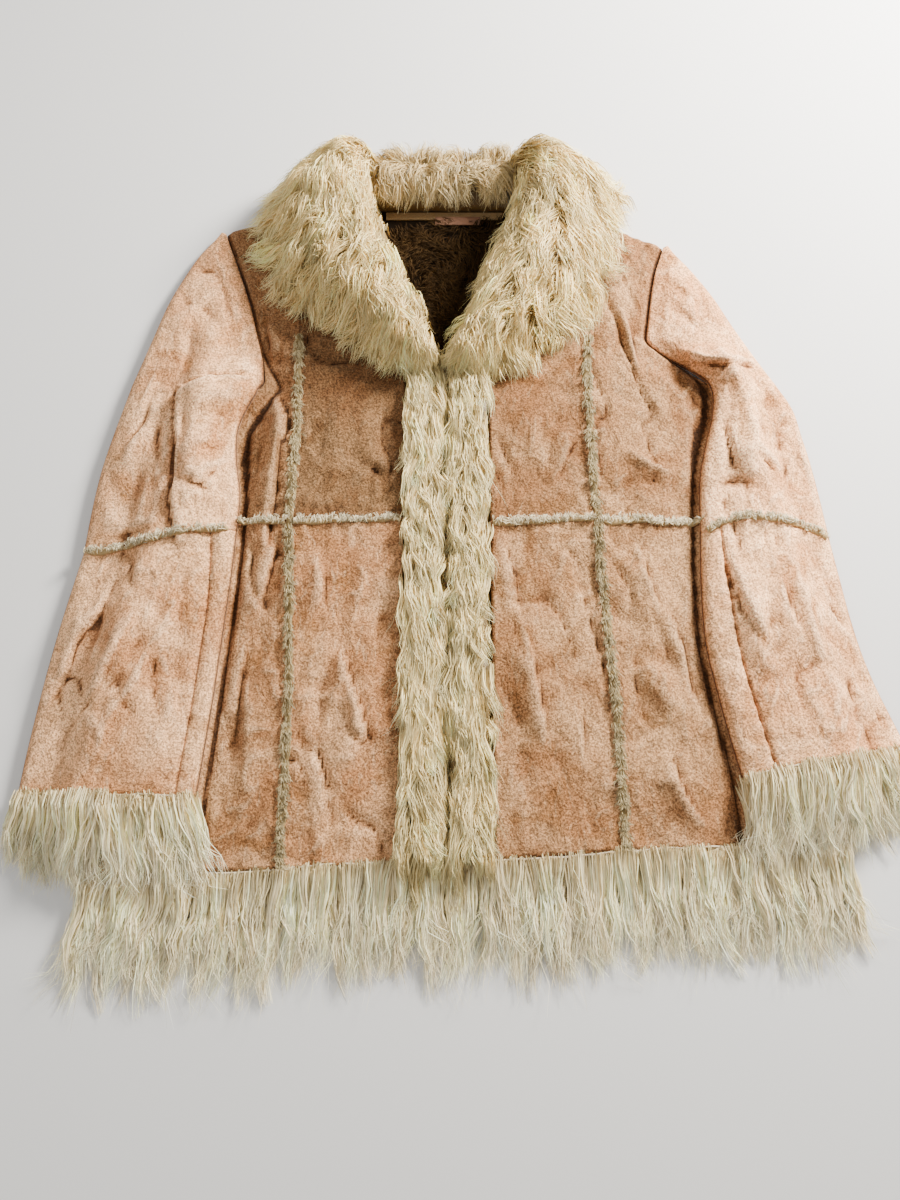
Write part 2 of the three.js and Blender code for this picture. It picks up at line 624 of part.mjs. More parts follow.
// A low ridge of raw fleece over a seam, along points with a height each
function addWelt(name, points) {
  const columns = [-1, -0.5, 0.5, 1];
  const face = (lift) => (i, j) => {
    const before = points[Math.max(0, j - 1)];
    const after = points[Math.min(points.length - 1, j + 1)];
    const along = new THREE.Vector2(after.x - before.x, after.y - before.y).normalize();
    const across = columns[i] * FLEECE_HALF_WIDTH;
    const crown = Math.abs(columns[i]) === 1 ? 0.45 : 1;
    const height = CLEARANCE + lift * crown * FLEECE_HEIGHT;
    return [
      points[j].x + along.y * across,
      points[j].y - along.x * across,
      points[j].z(along.y * across, -along.x * across) + height,
    ];
  };
  addPiece(name, wallGeometry(columns.length - 1, points.length - 1, face(1), face(0)), COLORS.fleece);
}

const onFront = (x, y) => ({ x, y, z: (dx, dy) => frontTop(x + dx, y + dy) });

function addFrontWelts(side, seam) {
  const body = BODY[side];
  const top = { x: atY(body.seam, WELT_TOP_Y), y: WELT_TOP_Y };
  const below = seam.filter((point) => point.y < WELT_TOP_Y - 2);
  addWelt(`fleece_${side}_front_seam`, [top, ...below].map(({ x, y }) => onFront(x, y)));

  const seamX = atY(body.seam, WAIST_Y);
  const beside = FLEECE_HALF_WIDTH + 0.5;
  const along = (fromX, toX, steps) => Array.from({ length: steps + 1 }, (_, i) => (
    onFront(lerp(fromX, toX, i / steps), WAIST_Y)
  ));
  const bandX = atY(body.neck, WAIST_Y) + body.sign * 1.5;
  const coverX = atY(body.cover, WAIST_Y) - body.sign * 3;
  addWelt(`fleece_${side}_waist_centre`, along(bandX, seamX - body.sign * beside, 5));
  addWelt(`fleece_${side}_waist_side`, along(seamX + body.sign * beside, coverX, 3));
}

// Height of a sleeve's top between two of the columns that its wall is made with
function chordTop(body, row, columns, u) {
  const next = columns.findIndex((column) => column >= u);
  const [from, to] = [columns[Math.max(0, next - 1)], columns[next]];
  const share = to > from ? (u - from) / (to - from) : 0;
  return lerp(sleeveTop(body, row, from), sleeveTop(body, row, to), share);
}

function addElbowWelt(side) {
  const body = BODY[side];
  const { upper, lower } = SLEEVES[side];
  const elbow = lower[0];
  const lowerColumns = TOP_COLUMNS.map((u) => lerp(elbow.strip, 1, u));
  const points = [0.5 * elbow.strip, ...lowerColumns.slice(0, -1)].map((u) => {
    const [x, y] = sleevePlace(elbow, u);
    const height = (dx, dy) => {
      const next = dy > 0 ? upper[upper.length - 2] : lower[1];
      const columns = dy > 0 ? TOP_COLUMNS : [NEAR_EDGE, elbow.strip / 2, ...lowerColumns];
      const share = Math.abs(dy / (sleevePlace(next, u)[1] - y));
      return lerp(chordTop(body, elbow, columns, u), chordTop(body, next, columns, u), share);
    };
    return { x, y, z: height };
  });
  addWelt(`fleece_${side}_elbow`, points);
}

// The bands of fur that edge the fronts and meet on the centre line
function addBand(side) {
  const body = BODY[side];
  const face = (lift) => (i, j) => {
    const u = BAND_COLUMNS[i];
    const outerX = atY(body.neck, 0) - body.sign * SEAM;
    const endY = Math.max(hemY(outerX), hemY(0)) + 1;
    const y = lerp(BAND_TOP_Y, endY, j / BAND_ROWS);
    const x = lerp(outerX, BAND_SPLIT + body.sign * BAND_GAP, u);
    const crown = 0.5 + 0.5 * Math.sin(Math.PI * u) + 0.06 * Math.sin(2.1 * j + 5 * u);
    return [x, y, FRONT_FLOOR + lift * BAND_HEIGHT * crown];
  };
  const geometry = wallGeometry(BAND_COLUMNS.length - 1, BAND_ROWS, face(1), face(0));
  addPiece(`band_${side}`, geometry, COLORS.fur, 1);
}

// A roll of the collar: steep at the neck, highest a third of the way out, thin at its edge
function collarProfile(u) {
  const peak = 0.35;
  if (u < peak) return 0.55 + 0.45 * Math.sin((Math.PI / 2) * (u / peak));
  return Math.cos((Math.PI / 2) * ((u - peak) / (1 - peak)));
}

function addCollarRoll(side) {
  const rows = COLLARS[side];
  const place = (i, j) => {
    const u = COLLAR_COLUMNS[i];
    return [lerp(rows[j].inX, rows[j].outX, u), lerp(rows[j].inY, rows[j].outY, u)];
  };
  const top = (i, j) => {
    const u = COLLAR_COLUMNS[i];
    const [x, y] = place(i, j);
    const wave = 3 * Math.sin(1.9 * j + 6 * u) * Math.sin(Math.PI * u);
    const height = COLLAR_EDGE + (rows[j].crown - COLLAR_EDGE) * collarProfile(u) + wave;
    return [x, y, collarFloor(x, y) + height];
  };
  const bottom = (i, j) => [...place(i, j), collarFloor(...place(i, j))];
  const geometry = wallGeometry(COLLAR_COLUMNS.length - 1, rows.length - 1, top, bottom);
  addPiece(`collar_${side}`, geometry, COLORS.fur, 1);
}

function addCollarBack() {
  const { bottomY, topY, minX, maxX, crown, edge } = COLLAR_BACK;
  const columns = 8;
  const rows = [0, 0.15, 0.4, 0.7, 0.9, 1];
  const face = (lift) => (i, j) => {
    const wave = 1 + 0.08 * Math.sin(1.7 * i + 2.3 * j);
    const height = edge + (crown - edge) * Math.sin(Math.PI * rows[j]) * wave;
    return [lerp(minX, maxX, i / columns), lerp(topY, bottomY, rows[j]), lift * height];
  };
  const geometry = wallGeometry(columns, rows.length - 1, face(1), face(0));
  addPiece('collar_back', geometry, COLORS.fur, 1);
}

function addFlatStrip(name, strip, floor, color) {
  const { minX, maxX, minY, maxY, thickness } = strip;
  const geometry = new THREE.BoxGeometry(maxX - minX, maxY - minY, thickness);
  geometry.translate((minX + maxX) / 2, (minY + maxY) / 2, floor + thickness / 2);
  addPiece(name, geometry, color);
}

// One lock of a fringe: three sides, flat below, two lengths and a point
function lockSolid({ root, reach, width, rise, drop, sway, heading }) {
  const forward = new THREE.Vector2(heading.x, heading.y).normalize();
  const sideways = new THREE.Vector2(-forward.y, forward.x);
  const at = (share, across, z) => {
    const bend = sway * Math.sin(Math.PI * share);
    const x = root.x + forward.x * reach * share + sideways.x * (across + bend);
    const y = root.y + forward.y * reach * share + sideways.y * (across + bend);
    return [x, y, z];
  };
  const ring = (share, size) => {
    const z = root.z - drop * share;
    return [
      at(share, (-width * size) / 2, z),
      at(share, (width * size) / 2, z),
      at(share, 0, z + rise * size),
    ];
  };
  const tip = at(1, 0, root.z - drop + 0.4);
  const positions = [...ring(0, 1), ...ring(0.55, 0.78), tip].flat();
  const index = [
    0, 1, 2, 0, 3, 4, 0, 4, 1, 1, 4, 5, 1, 5, 2, 2, 5, 3, 2, 3, 0, 3, 6, 4, 4, 6, 5, 5, 6, 3,
  ];
  const geometry = new THREE.BufferGeometry();
  geometry.setAttribute('position', new THREE.Float32BufferAttribute(positions, 3));
  geometry.setIndex(index);
  return toSolid(facingOut(geometry));
}

// A strip of backing and the locks fused into it
function addFringe(name, strip, locks) {
  const fringe = locks.reduce((solid, lock) => solid.add(lockSolid(lock)), toSolid(strip));
  addPiece(name, toGeometry(fringe), COLORS.fur, 1);
}

// Part of the fringe along the hem, between two places on it
function addHemFringe(name, fromX, toX, count, { floor, reach, rise, drop, salt }) {
  const steps = Math.round(Math.abs(toX - fromX) / 24);
  const place = (i, j) => {
    const x = lerp(fromX, toX, i / steps);
    return [x, hemY(x) - SEAM - j * STRIP];
  };
  const strip = wallGeometry(
    steps,
    1,
    (i, j) => [...place(i, j), floor(place(i, 0)[0]) + WALL],
    (i, j) => [...place(i, j), floor(place(i, 0)[0])],
  );
  const spacing = Math.abs(toX - fromX) / count;
  const locks = Array.from({ length: count }, (_, i) => {
    const x = lerp(fromX, toX, (i + 0.5) / count);
    const lift = rise(x);
    return {
      root: { x, y: hemY(x) - SEAM - STRIP / 2, z: floor(x) + 1 },
      reach: reach * (0.84 + 0.16 * scatter(i, salt)),
      width: spacing - LOCK_GAP,
      rise: lift,
      drop: floor(x) + 1 - drop,
      sway: 1.6 * (scatter(i, salt + 1) - 0.5),
      heading: { x: 0.0006 * x, y: -1 },
    };
  });
  addFringe(name, strip, locks);
}

function addHemFringes() {
  const ends = [BODY.left, BODY.right].map((body) => atY(body.side, HEM_Y) - body.sign * 2);
  const shows = (x) => x > HEM_SHOWS.minX && x < HEM_SHOWS.maxX;
  const front = {
    floor: (x) => frontFloor(x, hemY(x)),
    reach: HEM_FRONT_REACH,
    rise: (x) => (shows(x) ? LOCK_RISE.front : LOCK_RISE.covered),
    drop: FRONT_FLOOR + 1,
    salt: 3,
  };
  const split = [BAND_SPLIT - BAND_GAP, BAND_SPLIT + BAND_GAP];
  addHemFringe('hem_fur_front_left', ends[0], split[0], HEM_LOCKS / 2, front);
  addHemFringe('hem_fur_front_right', split[1], ends[1], HEM_LOCKS / 2, front);
  const back = {
    floor: () => 0, reach: HEM_BACK_REACH, rise: () => LOCK_RISE.back, drop: 0.7, salt: 7,
  };
  addHemFringe('hem_fur_back', ends[0], ends[1], HEM_LOCKS, back);
}

// The fringe of one side of a cuff, level 0 for the under side and 1 for the top
function addCuffFringe(name, side, level) {
  const body = BODY[side];
  const rows = SLEEVES[side].lower;
  const cuff = rows[rows.length - 1];
  const before = rows[rows.length - 2];
  const heading = new THREE.Vector2(
    cuff.inX + cuff.outX - before.inX - before.outX,
    cuff.inY + cuff.outY - before.inY - before.outY,
  ).normalize();
  const place = (u, along) => {
    const [x, y] = sleevePlace(cuff, u);
    return [x + heading.x * along, y + heading.y * along];
  };
  const floor = (u) => {
    const [x, y] = sleevePlace(cuff, u);
    if (level === 0) return sleeveFloor(body, x, y);
    return sleeveLining(body, cuff, u);
  };
  const steps = 10;
  const corner = (i, j) => place(i / steps, SEAM + j * STRIP);
  const strip = wallGeometry(
    steps,
    1,
    (i, j) => [...corner(i, j), floor(i / steps) + WALL],
    (i, j) => [...corner(i, j), floor(i / steps)],
  );
  const width = Math.hypot(cuff.outX - cuff.inX, cuff.outY - cuff.inY) / CUFF_LOCKS;
  const locks = Array.from({ length: CUFF_LOCKS }, (_, i) => {
    const u = (i + 0.5) / CUFF_LOCKS;
    const [x, y] = place(u, SEAM + STRIP / 2);
    const reach = CUFF_REACH * (0.82 + 0.18 * scatter(i, level + 11));
    const tipFloor = sleeveFloor(body, x + heading.x * reach, y + heading.y * reach);
    const z = floor(u) + 0.8;
    return {
      root: { x, y, z },
      reach,
      width: width - LOCK_GAP,
      rise: level === 0 ? LOCK_RISE.cuffUnder : LOCK_RISE.front,
      drop: z - tipFloor - (level === 0 ? 0.8 : 6),
      sway: 1.4 * (scatter(i, level + 13) - 0.5),
      heading: { x: heading.x + 0.12 * (u - 0.5) * body.sign, y: heading.y },
    };
  });
  addFringe(name, strip, locks);
}

addBack();
for (const side of ['left', 'right']) {
  const seam = addFront(side);
  addFrontWelts(side, seam);
  addBand(side);
  addSleeve(side);
  addElbowWelt(side);
  addCollarRoll(side);
  addCuffFringe(`cuff_fur_${side}_under`, side, 0);
  addCuffFringe(`cuff_fur_${side}_top`, side, 1);
}
addCollarBack();
addFlatStrip('neck_tape', TAPE, FRONT_FLOOR, COLORS.tape);
addFlatStrip('neck_tab', TAB, FRONT_FLOOR + TAPE.thickness + SEAM, COLORS.tab);
addHemFringes();

export default coat;
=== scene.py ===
# A shearling coat laid flat, front up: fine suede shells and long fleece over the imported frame.
# Sizes and places are in millimetres in the frame's axes, and MM turns them into metres.
import math

import bpy
import numpy as np
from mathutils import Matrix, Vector


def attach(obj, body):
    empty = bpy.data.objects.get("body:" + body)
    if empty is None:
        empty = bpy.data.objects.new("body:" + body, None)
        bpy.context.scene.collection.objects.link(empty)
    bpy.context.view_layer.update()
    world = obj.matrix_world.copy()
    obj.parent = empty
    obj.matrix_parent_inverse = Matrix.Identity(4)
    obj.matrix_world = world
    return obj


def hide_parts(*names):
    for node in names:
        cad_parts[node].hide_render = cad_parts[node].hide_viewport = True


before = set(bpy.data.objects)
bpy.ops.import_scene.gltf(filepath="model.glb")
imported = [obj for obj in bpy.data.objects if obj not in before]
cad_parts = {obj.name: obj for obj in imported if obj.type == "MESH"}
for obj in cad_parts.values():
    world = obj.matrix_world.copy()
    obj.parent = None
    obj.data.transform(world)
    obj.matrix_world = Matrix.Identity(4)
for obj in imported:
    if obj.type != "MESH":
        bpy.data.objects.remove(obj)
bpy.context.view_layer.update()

MM = 0.001

# The coat's own measures, as in its construction
WALL = 5.0
SEAM = 0.3
FRONT_FLOOR = WALL + SEAM
FRONT_EDGE_TOP = FRONT_FLOOR + WALL
SLEEVE_FLOOR = FRONT_EDGE_TOP + 0.6
FRONT_LOFT = 4.0
SLEEVE_LOFT = 8.0
FOOT_MARGIN = 17.0
FOOT_SLOPE = 0.5
COLLAR_MARGIN = 24.0
WAIST_Y = -6.0
BAND_TOP_Y = 141.0
BAND_SPLIT = 1.2
CELL = 3.6  # spacing of the points of a suede shell
FOLD_STEP = 5.0  # distance over which a fold steps down
EDGE_ROLL = 9.0  # how far in from a folded edge the cloth rolls over
ARMHOLE_BLEND = 16.0  # distance over which a sleeve comes down to the armhole
FRINGE_ROWS = np.array([[0.3], [4.0], [8.0]])  # how far past the seam a fringe's strip lies
NOISE_CELLS = 64  # cells of smooth noise before it repeats
CAMERA = {"place": (0.0045, -0.278, 0.761), "tilt": 15, "lens": 27.03, "sensor": 36}

# Each side of the body: the neck, seam, side and cover edges are rows of (y, x), the shoulder's
# ends and the outline under the sleeve are (x, y), and the gap under the arm is a reach in Y
BODY = {
    "left": {
        "sign": -1,
        "gap": (24, 118),
        "shoulder": ((-72, 335), (-212, 290)),
        "neck": [(335, -72), (304, -66), (274, -53), (234, -37), (205, -22), (168, -13),
                 (152, -36.5), (-310, -36.5)],
        "seam": [(320, -140), (200, -136), (84, -134), (-6, -137), (-82, -133), (-154, -130),
                 (-305, -131)],
        "side": [(290, -212), (273, -206), (255, -199), (212, -184), (176, -175), (150, -168),
                 (126, -166), (108, -210), (-6, -234), (-310, -292)],
        "cover": [(290, -212), (255, -199), (212, -184), (176, -175), (150, -166), (126, -152),
                  (106, -166), (80, -181), (50, -184), (20, -178), (-18, -178), (-95, -183),
                  (-165, -189), (-243, -197), (-400, -198)],
        "under": [(-164, 126), (-212, 110), (-292, -300), (-296, -410), (-90, -410), (-90, 126)],
    },
    "right": {
        "sign": 1,
        "gap": (44, 136),
        "shoulder": ((72, 333), (210, 275)),
        "neck": [(333, 72), (304, 66), (270, 52), (234, 41), (205, 30), (168, 12), (152, 40),
                 (-310, 40)],
        "seam": [(320, 138), (188, 135), (141, 130), (13, 133), (-41, 135), (-93, 138),
                 (-169, 143), (-305, 146)],
        "side": [(275, 210), (250, 201), (226, 196), (196, 191), (174, 188), (158, 206),
                 (141, 227), (126, 247), (-6, 271), (-310, 330)],
        "cover": [(275, 210), (250, 201), (226, 196), (196, 191), (174, 188), (158, 206),
                  (141, 227), (126, 243), (95, 240), (66, 231), (40, 224), (16, 222),
                  (-50, 218), (-120, 218), (-192, 230), (-228, 238), (-400, 248)],
        "under": [(243, 126), (249, 112), (325, -281), (329, -410), (90, -410), (90, 126)],
    },
}

# Rows of a sleeve: inner x and y, outer x and y, fullness, bow of the row, and the share of the
# row that shows of the undersleeve
SLEEVES = {
    "left": {
        "upper": [
            (-212.5, 290, -217, 292, 0.1, 0, 0), (-206.5, 273, -230, 277, 0.3, 0, 0),
            (-199.5, 255, -241, 261, 0.4, 0, 0), (-184.5, 212, -262, 218, 0.8, 0, 0),
            (-175.5, 176, -275, 178, 1, 0, 0), (-168.5, 150, -284, 149, 1, 0, 0),
            (-166.5, 126, -290, 130, 1, 0, 0), (-172, 118, -293, 118, 1, 0, 0),
            (-186, 84, -301, 86, 1, 0, 0), (-186, 50, -309, 50, 1, 0, 0),
            (-181, 18, -314, 14, 0.9, 0, 0), (-182, -16, -318, -34, 0.8, 0, 0),
        ],
        "lower": [
            (-182, -16.5, -318, -34.5, 0.8, 0, 0.15), (-184, -55, -325, -68, 0.9, 0, 0.12),
            (-187, -93, -332, -104, 1, 0, 0.1), (-190, -130, -338, -140, 1, 0, 0.1),
            (-193, -167, -343, -176, 0.9, 0, 0.1), (-197, -205, -347, -208, 0.9, 0, 0.1),
            (-201, -243, -350, -239, 0.8, 0, 0.1),
        ],
    },
    "right": {
        "upper": [
            (210.5, 275, 215, 277, 0.1, 0, 0), (201.5, 250, 236, 251, 0.4, 0, 0),
            (196.5, 226, 256, 220, 0.8, 0, 0), (191.5, 196, 270, 193, 1, 0, 0),
            (188.5, 174, 282, 171, 1, 0, 0), (206.5, 158, 295, 148, 1, 0, 0),
            (227.5, 141, 308, 126, 1, 0, 0), (243, 122, 320, 103, 1, 0, 0),
            (242, 95, 325, 79, 1, 0, 0), (234, 66, 330, 54, 1, 0, 0),
            (226, 30, 335, 20, 0.9, 0, 0), (223, -19, 340, -22, 0.8, 14, 0),
        ],
        "lower": [
            (223, -19.5, 340, -22.5, 0.8, 14, 0.13), (221, -52, 345, -58, 0.9, 8, 0.15),
            (220, -86, 350, -92, 1, 4, 0.17), (221, -121, 356, -122, 1, 2, 0.18),
            (227, -156, 364, -150, 0.9, 2, 0.18), (234, -192, 374, -177, 0.9, 2, 0.18),
            (242, -228, 384, -203, 0.8, 2, 0.18),
        ],
    },
}

# The hem seam as (x, y), and rows of a collar roll: inner x and y, outer x and y, crown
HEM = [(-294, -305), (-199, -303), (-135, -300), (-104, -295), (-33, -293), (43, -292),
       (90, -290), (142, -285), (185, -282), (250, -282), (330, -279)]
COLLARS = {
    "left": [
        (-8, 148, -44, 149, 24), (-13, 168, -84, 169, 34), (-18, 192, -124, 187, 42),
        (-28, 217, -160, 211, 47), (-41, 244, -181, 242, 50), (-54, 275, -186, 272, 52),
        (-65, 302, -188, 298, 54), (-71, 325, -176, 325, 54), (-72, 345, -154, 351, 52),
        (-71, 362, -120, 371, 44), (-69, 377, -90, 383, 30),
    ],
    "right": [
        (6, 152, 36, 143, 24), (14, 172, 80, 151, 34), (24, 196, 118, 169, 42),
        (35, 222, 147, 200, 47), (45, 250, 163, 238, 50), (54, 275, 172, 268, 52),
        (66, 302, 171, 298, 54), (69, 325, 182, 326, 54), (66, 345, 172, 352, 52),
        (64, 362, 134, 372, 44), (63, 378, 96, 396, 28),
    ],
}
COLLAR_BODY = 0.74  # share of a roll's height that is under its hair
COLLAR_WIDTH = 0.84  # share of a roll's width from which hair grows
COLLAR_END = 9.6  # how many rows up the roll the body under the hair reaches
COLLAR_BACK = {"x": (-66, 60), "y": (319, 374), "crown": 26}

# Which way the hair of a roll lies, in degrees, in rows up the roll and in columns outwards
COLLAR_LAY = {
    "left": [(-90, -100, -118), (-85, -105, -140), (-80, -120, -168), (-76, -112, -172),
             (-215, -225, -215)],
    "right": [(-112, -105, -80), (-128, -125, -62), (-115, -92, -32), (-105, -70, -10),
              (40, 50, 55)],
}

# Folds and creases laid one by one: x1, y1, x2, y2, half width, height
SLEEVE_CREASES = [
    (-172, 108, -213, 104, 20, 6), (-214, 98, -221, 20, 20, 7), (-205, 200, -226, 146, 18, 4),
    (-238, 118, -240, 30, 13, -4), (-272, 146, -290, 30, 18, 3), (-300, -150, -250, -80, 18, 3.5),
    (-261, 57, -271, -20, 10, 2.6), (-192, 49, -208, 19, 9, 3.5), (-322, -115, -276, -72, 11, 2.6),
    (-292, -166, -249, -89, 10, 2.4), (-265, -182, -228, -81, 9, 2.2),
    (-238, -214, -219, -149, 9, 2.2), (-236, 118, -232, -20, 7, -3.4),
    (-234, 122, -184, 134, 7, -3.2), (-235, 190, -242, 126, 8, -2.8), (-255, 90, -262, 10, 7, -2),
    (-282, -60, -256, -34, 7, -2), (-310, -190, -272, -130, 8, -2), (-225, -60, -222, -120, 7, -2),
    (-300, 20, -296, -30, 8, 2), (-196, 60, -216, 52, 5, -2.6), (-220, 225, -246, 196, 9, 1.8),
    (248, 160, 276, 112, 18, 6), (274, 104, 268, 20, 18, 5), (300, 86, 308, 20, 14, -4),
    (252, -50, 270, -150, 17, 3.5), (296, -65, 334, -155, 17, 4),
    (248, 126, 260, 147, 5, -3.4), (273, 54, 294, 40, 5, -2.4), (309, 86, 322, 10, 8, -2.2),
    (279, -45, 288, -6, 7, -2.6), (312, -72, 330, -132, 7, -2.4), (286, -10, 270, 20, 6, -2.2),
    (300, -18, 322, 4, 6, -2), (286, -12, 262, -26, 6, -2), (290, 130, 306, 96, 9, 2.4),
    (331, -115, 357, -190, 10, 2.4), (272, -60, 276, -120, 8, -2), (236, 90, 262, 84, 6, -2),
    (246, 84, 243, 14, 9, 2.6), (214, 240, 236, 214, 8, 2), (204, 214, 236, 176, 8, -2.6),
    (300, -160, 312, -196, 9, 2), (344, -60, 350, -110, 7, 1.8), (262, 60, 268, 0, 6, -2),
]
FRONT_CREASES = [
    (-158, 190, -150, 150, 14, 4), (-147, 98, -151, 20, 15, 6), (-52, -120, -93, -246, 20, 4),
    (-160, -156, -163, -246, 17, 4), (66, -78, 78, -214, 19, 3.5), (158, -110, 198, -190, 18, 4),
    (56, 116, 84, 44, 17, 3), (-159, -36, -178, -113, 12, 2.6), (-108, -36, -122, -118, 9, 2.2),
    (-96, 111, -102, 14, 12, 1.6), (48, -30, 60, -113, 8, 2.4), (166, 200, 178, 150, 9, 2.2),
    (177, -214, 206, -261, 10, 2.4), (170, -36, 186, -78, 9, 2.4), (-166, 100, -172, 16, 7, -3.2),
    (-182, 112, -178, 26, 9, -5), (234, 128, 224, 26, 9, -4),
    (-139, -40, -156, -98, 8, -2.4), (-89, -96, -110, -214, 9, -2.4), (104, 91, 80, 14, 8, -2),
    (98, -110, 111, -220, 8, -2.2), (176, -78, 205, -164, 9, -2.6), (-60, -30, -84, -84, 8, 1.8),
    (-56, 60, -70, 16, 8, -1.6), (112, -24, 92, -70, 8, 1.8), (150, 120, 190, 100, 8, -2),
    (160, 60, 214, 40, 9, 1.8), (150, 20, 200, 60, 7, -1.8), (-110, -230, -100, -286, 8, 2),
    (56, -230, 64, -284, 8, 1.8), (118, -240, 124, -280, 8, -1.8), (-150, -250, -180, -292, 9, -2),
    (190, -100, 210, -120, 6, -2), (46, -140, 64, -190, 7, -2), (-70, 140, -100, 100, 9, 1.5),
    (70, 134, 104, 120, 8, -1.6),
]

# Where the cloth steps down from a raised lip on the left of a line: x1, y1, x2, y2, how far
# the lip slopes back, height
SLEEVE_FOLDS = [
    (-172, 126, -226, 128, 14, 5), (-212, 129, -246, 108, 16, 6), (-243, 120, -239, 4, 24, 7),
    (-240, 30, -231, -30, 18, 6), (-230, 28, -202, 19, 12, 5), (-212, 20, -186, 54, 10, 4),
    (-262, 112, -288, 44, 20, 3), (-292, -20, -246, -12, 12, 3), (-334, -170, -286, -64, 16, 4),
    (-300, -186, -262, -92, 14, 4), (-276, -204, -244, -120, 12, 3),
    (212, 152, 262, 138, 14, 6), (262, 138, 292, 146, 12, 4), (250, 92, 262, 28, 14, 4),
    (276, 56, 300, 38, 12, 4), (318, 96, 324, 12, 12, 3), (240, -36, 268, -130, 14, 4),
    (352, -126, 322, -60, 14, 4), (372, -170, 346, -96, 12, 3), (300, -120, 282, -50, 12, 3),
]
FRONT_FOLDS = [
    (-153, -30, -147, 50, 20, 5), (-148, 5, -145, 108, 24, 6), (-145, 70, -152, 130, 18, 5),
    (-162, -92, -142, -14, 14, 5), (-176, -190, -168, -110, 12, 4), (-100, -92, -112, -30, 10, 3),
    (-56, -210, -88, -110, 14, 4), (-92, -268, -104, -190, 12, 3), (-170, 196, -160, 150, 10, 4),
    (62, -96, 52, -22, 10, 3), (84, -206, 66, -96, 14, 4), (120, -230, 104, -130, 10, 3),
    (186, -92, 168, -24, 12, 4), (214, -176, 188, -76, 14, 4), (212, -268, 178, -206, 12, 4),
    (96, 30, 122, 78, 12, 3), (180, 142, 170, 206, 10, 4), (206, 40, 168, 64, 12, 3),
]

# Linear colours
SUEDE_LIGHT = (0.91, 0.505, 0.245)
SUEDE_MID = (0.55, 0.245, 0.100)
# Dark mottling of the suede, and also the painted shade in its hollows
SUEDE_DARK_AND_SHADE = (0.20, 0.068, 0.020)
# Painted shade for the deepest hollows and gaps
SUEDE_GAP_SHADE = (0.035, 0.013, 0.005)
SUEDE_OCHRE = (0.40, 0.165, 0.05)
# Pale rubbed wear, and also the painted highlight on ridges
SUEDE_RUB_AND_HIGHLIGHT = (0.97, 0.62, 0.35)
COLLAR_FUR = ((0.28, 0.175, 0.05), (0.89, 0.67, 0.28), (0.99, 0.86, 0.46))
BACK_FUR = ((0.14, 0.08, 0.025), (0.52, 0.36, 0.14), (0.92, 0.77, 0.45))
BAND_FUR = ((0.22, 0.135, 0.04), (0.84, 0.66, 0.30), (1.00, 0.90, 0.52))
FRINGE_FUR = ((0.60, 0.44, 0.20), (1.00, 0.85, 0.51), (1.00, 0.88, 0.62))
PALE_FLEECE = ((0.26, 0.18, 0.08), (0.62, 0.51, 0.30), (0.95, 0.87, 0.64))
FLEECE = ((0.14, 0.095, 0.037), (0.37, 0.28, 0.135), (0.66, 0.55, 0.34))
PILE = ((0.008, 0.004, 0.001), (0.026, 0.013, 0.004), (0.085, 0.048, 0.016))
EDGE_COLOUR = (0.66, 0.53, 0.36)
TAPE_COLOUR = (0.23, 0.145, 0.065)
TAB_COLOUR = (0.16, 0.078, 0.045)
FLOOR_COLOUR = (0.82, 0.81, 0.79)

# Each panel's brightness is partly its hide's own dye and partly painted light and shade: the right
# sleeve is painted brighter where the light falls strongest, the upper left front darker in the
# collar's shadow
PANEL_DYE_AND_LIGHT = {
    "front_left_centre_upper": 0.31, "front_left_side_upper": 0.50,
    "front_left_centre_lower": 0.84, "front_left_side_lower": 0.72,
    "front_right_centre_upper": 0.53, "front_right_side_upper": 0.56,
    "front_right_centre_lower": 0.64, "front_right_side_lower": 0.62,
    "sleeve_left_top_upper": 1.20, "sleeve_left_top_lower": 1.16,
    "sleeve_right_top_upper": 1.34, "sleeve_right_top_lower": 1.28,
    "sleeve_right_under_lower": 1.20, "sleeve_right_under_upper": 1.20,
}


def smooth(t):
    t = np.clip(t, 0.0, 1.0)
    return t * t * (3 - 2 * t)


def mix(a, b, t):
    return a + (b - a) * t


# Even sample places for the curves, in Y or in X
SAMPLES = np.arange(-440.0, 441.0, 2.0)


def rounded(rows, blur):
    """One column of a table over the other, as a function with its corners rounded."""
    keys, values = zip(*sorted(rows))
    line = np.interp(SAMPLES, keys, values)
    reach = int(blur * 2)
    kernel = np.exp(-0.5 * (np.arange(-reach, reach + 1) * 2.0 / blur) ** 2)
    line = np.convolve(np.pad(line, reach, mode="edge"), kernel / kernel.sum(), "valid")
    return lambda at: np.interp(at, SAMPLES, line)


CURVES = {
    side: {key: rounded(body[key], 3.0) for key in ("neck", "seam", "side", "cover")}
    for side, body in BODY.items()
}
hem_y = rounded(HEM, 10.0)


def noise(x, y, scale, seed):
    """Smooth noise between -1 and 1 with features of this size."""
    lattice = np.random.default_rng(seed).uniform(-1, 1, (NOISE_CELLS, NOISE_CELLS))
    u, v = x / scale, y / scale
    i, j = np.floor(u).astype(int), np.floor(v).astype(int)
    a, b = smooth(u - i), smooth(v - j)
    i0, i1 = i % NOISE_CELLS, (i + 1) % NOISE_CELLS
    j0, j1 = j % NOISE_CELLS, (j + 1) % NOISE_CELLS
    low = mix(lattice[i0, j0], lattice[i1, j0], a)
    high = mix(lattice[i0, j1], lattice[i1, j1], a)
    return mix(low, high, b)


def segment(x, y, x1, y1, x2, y2):
    """Distance from a segment, and the share along it of the nearest point."""
    dx, dy = x2 - x1, y2 - y1
    t = np.clip(((x - x1) * dx + (y - y1) * dy) / (dx * dx + dy * dy), 0, 1)
    return np.hypot(x - x1 - t * dx, y - y1 - t * dy), t


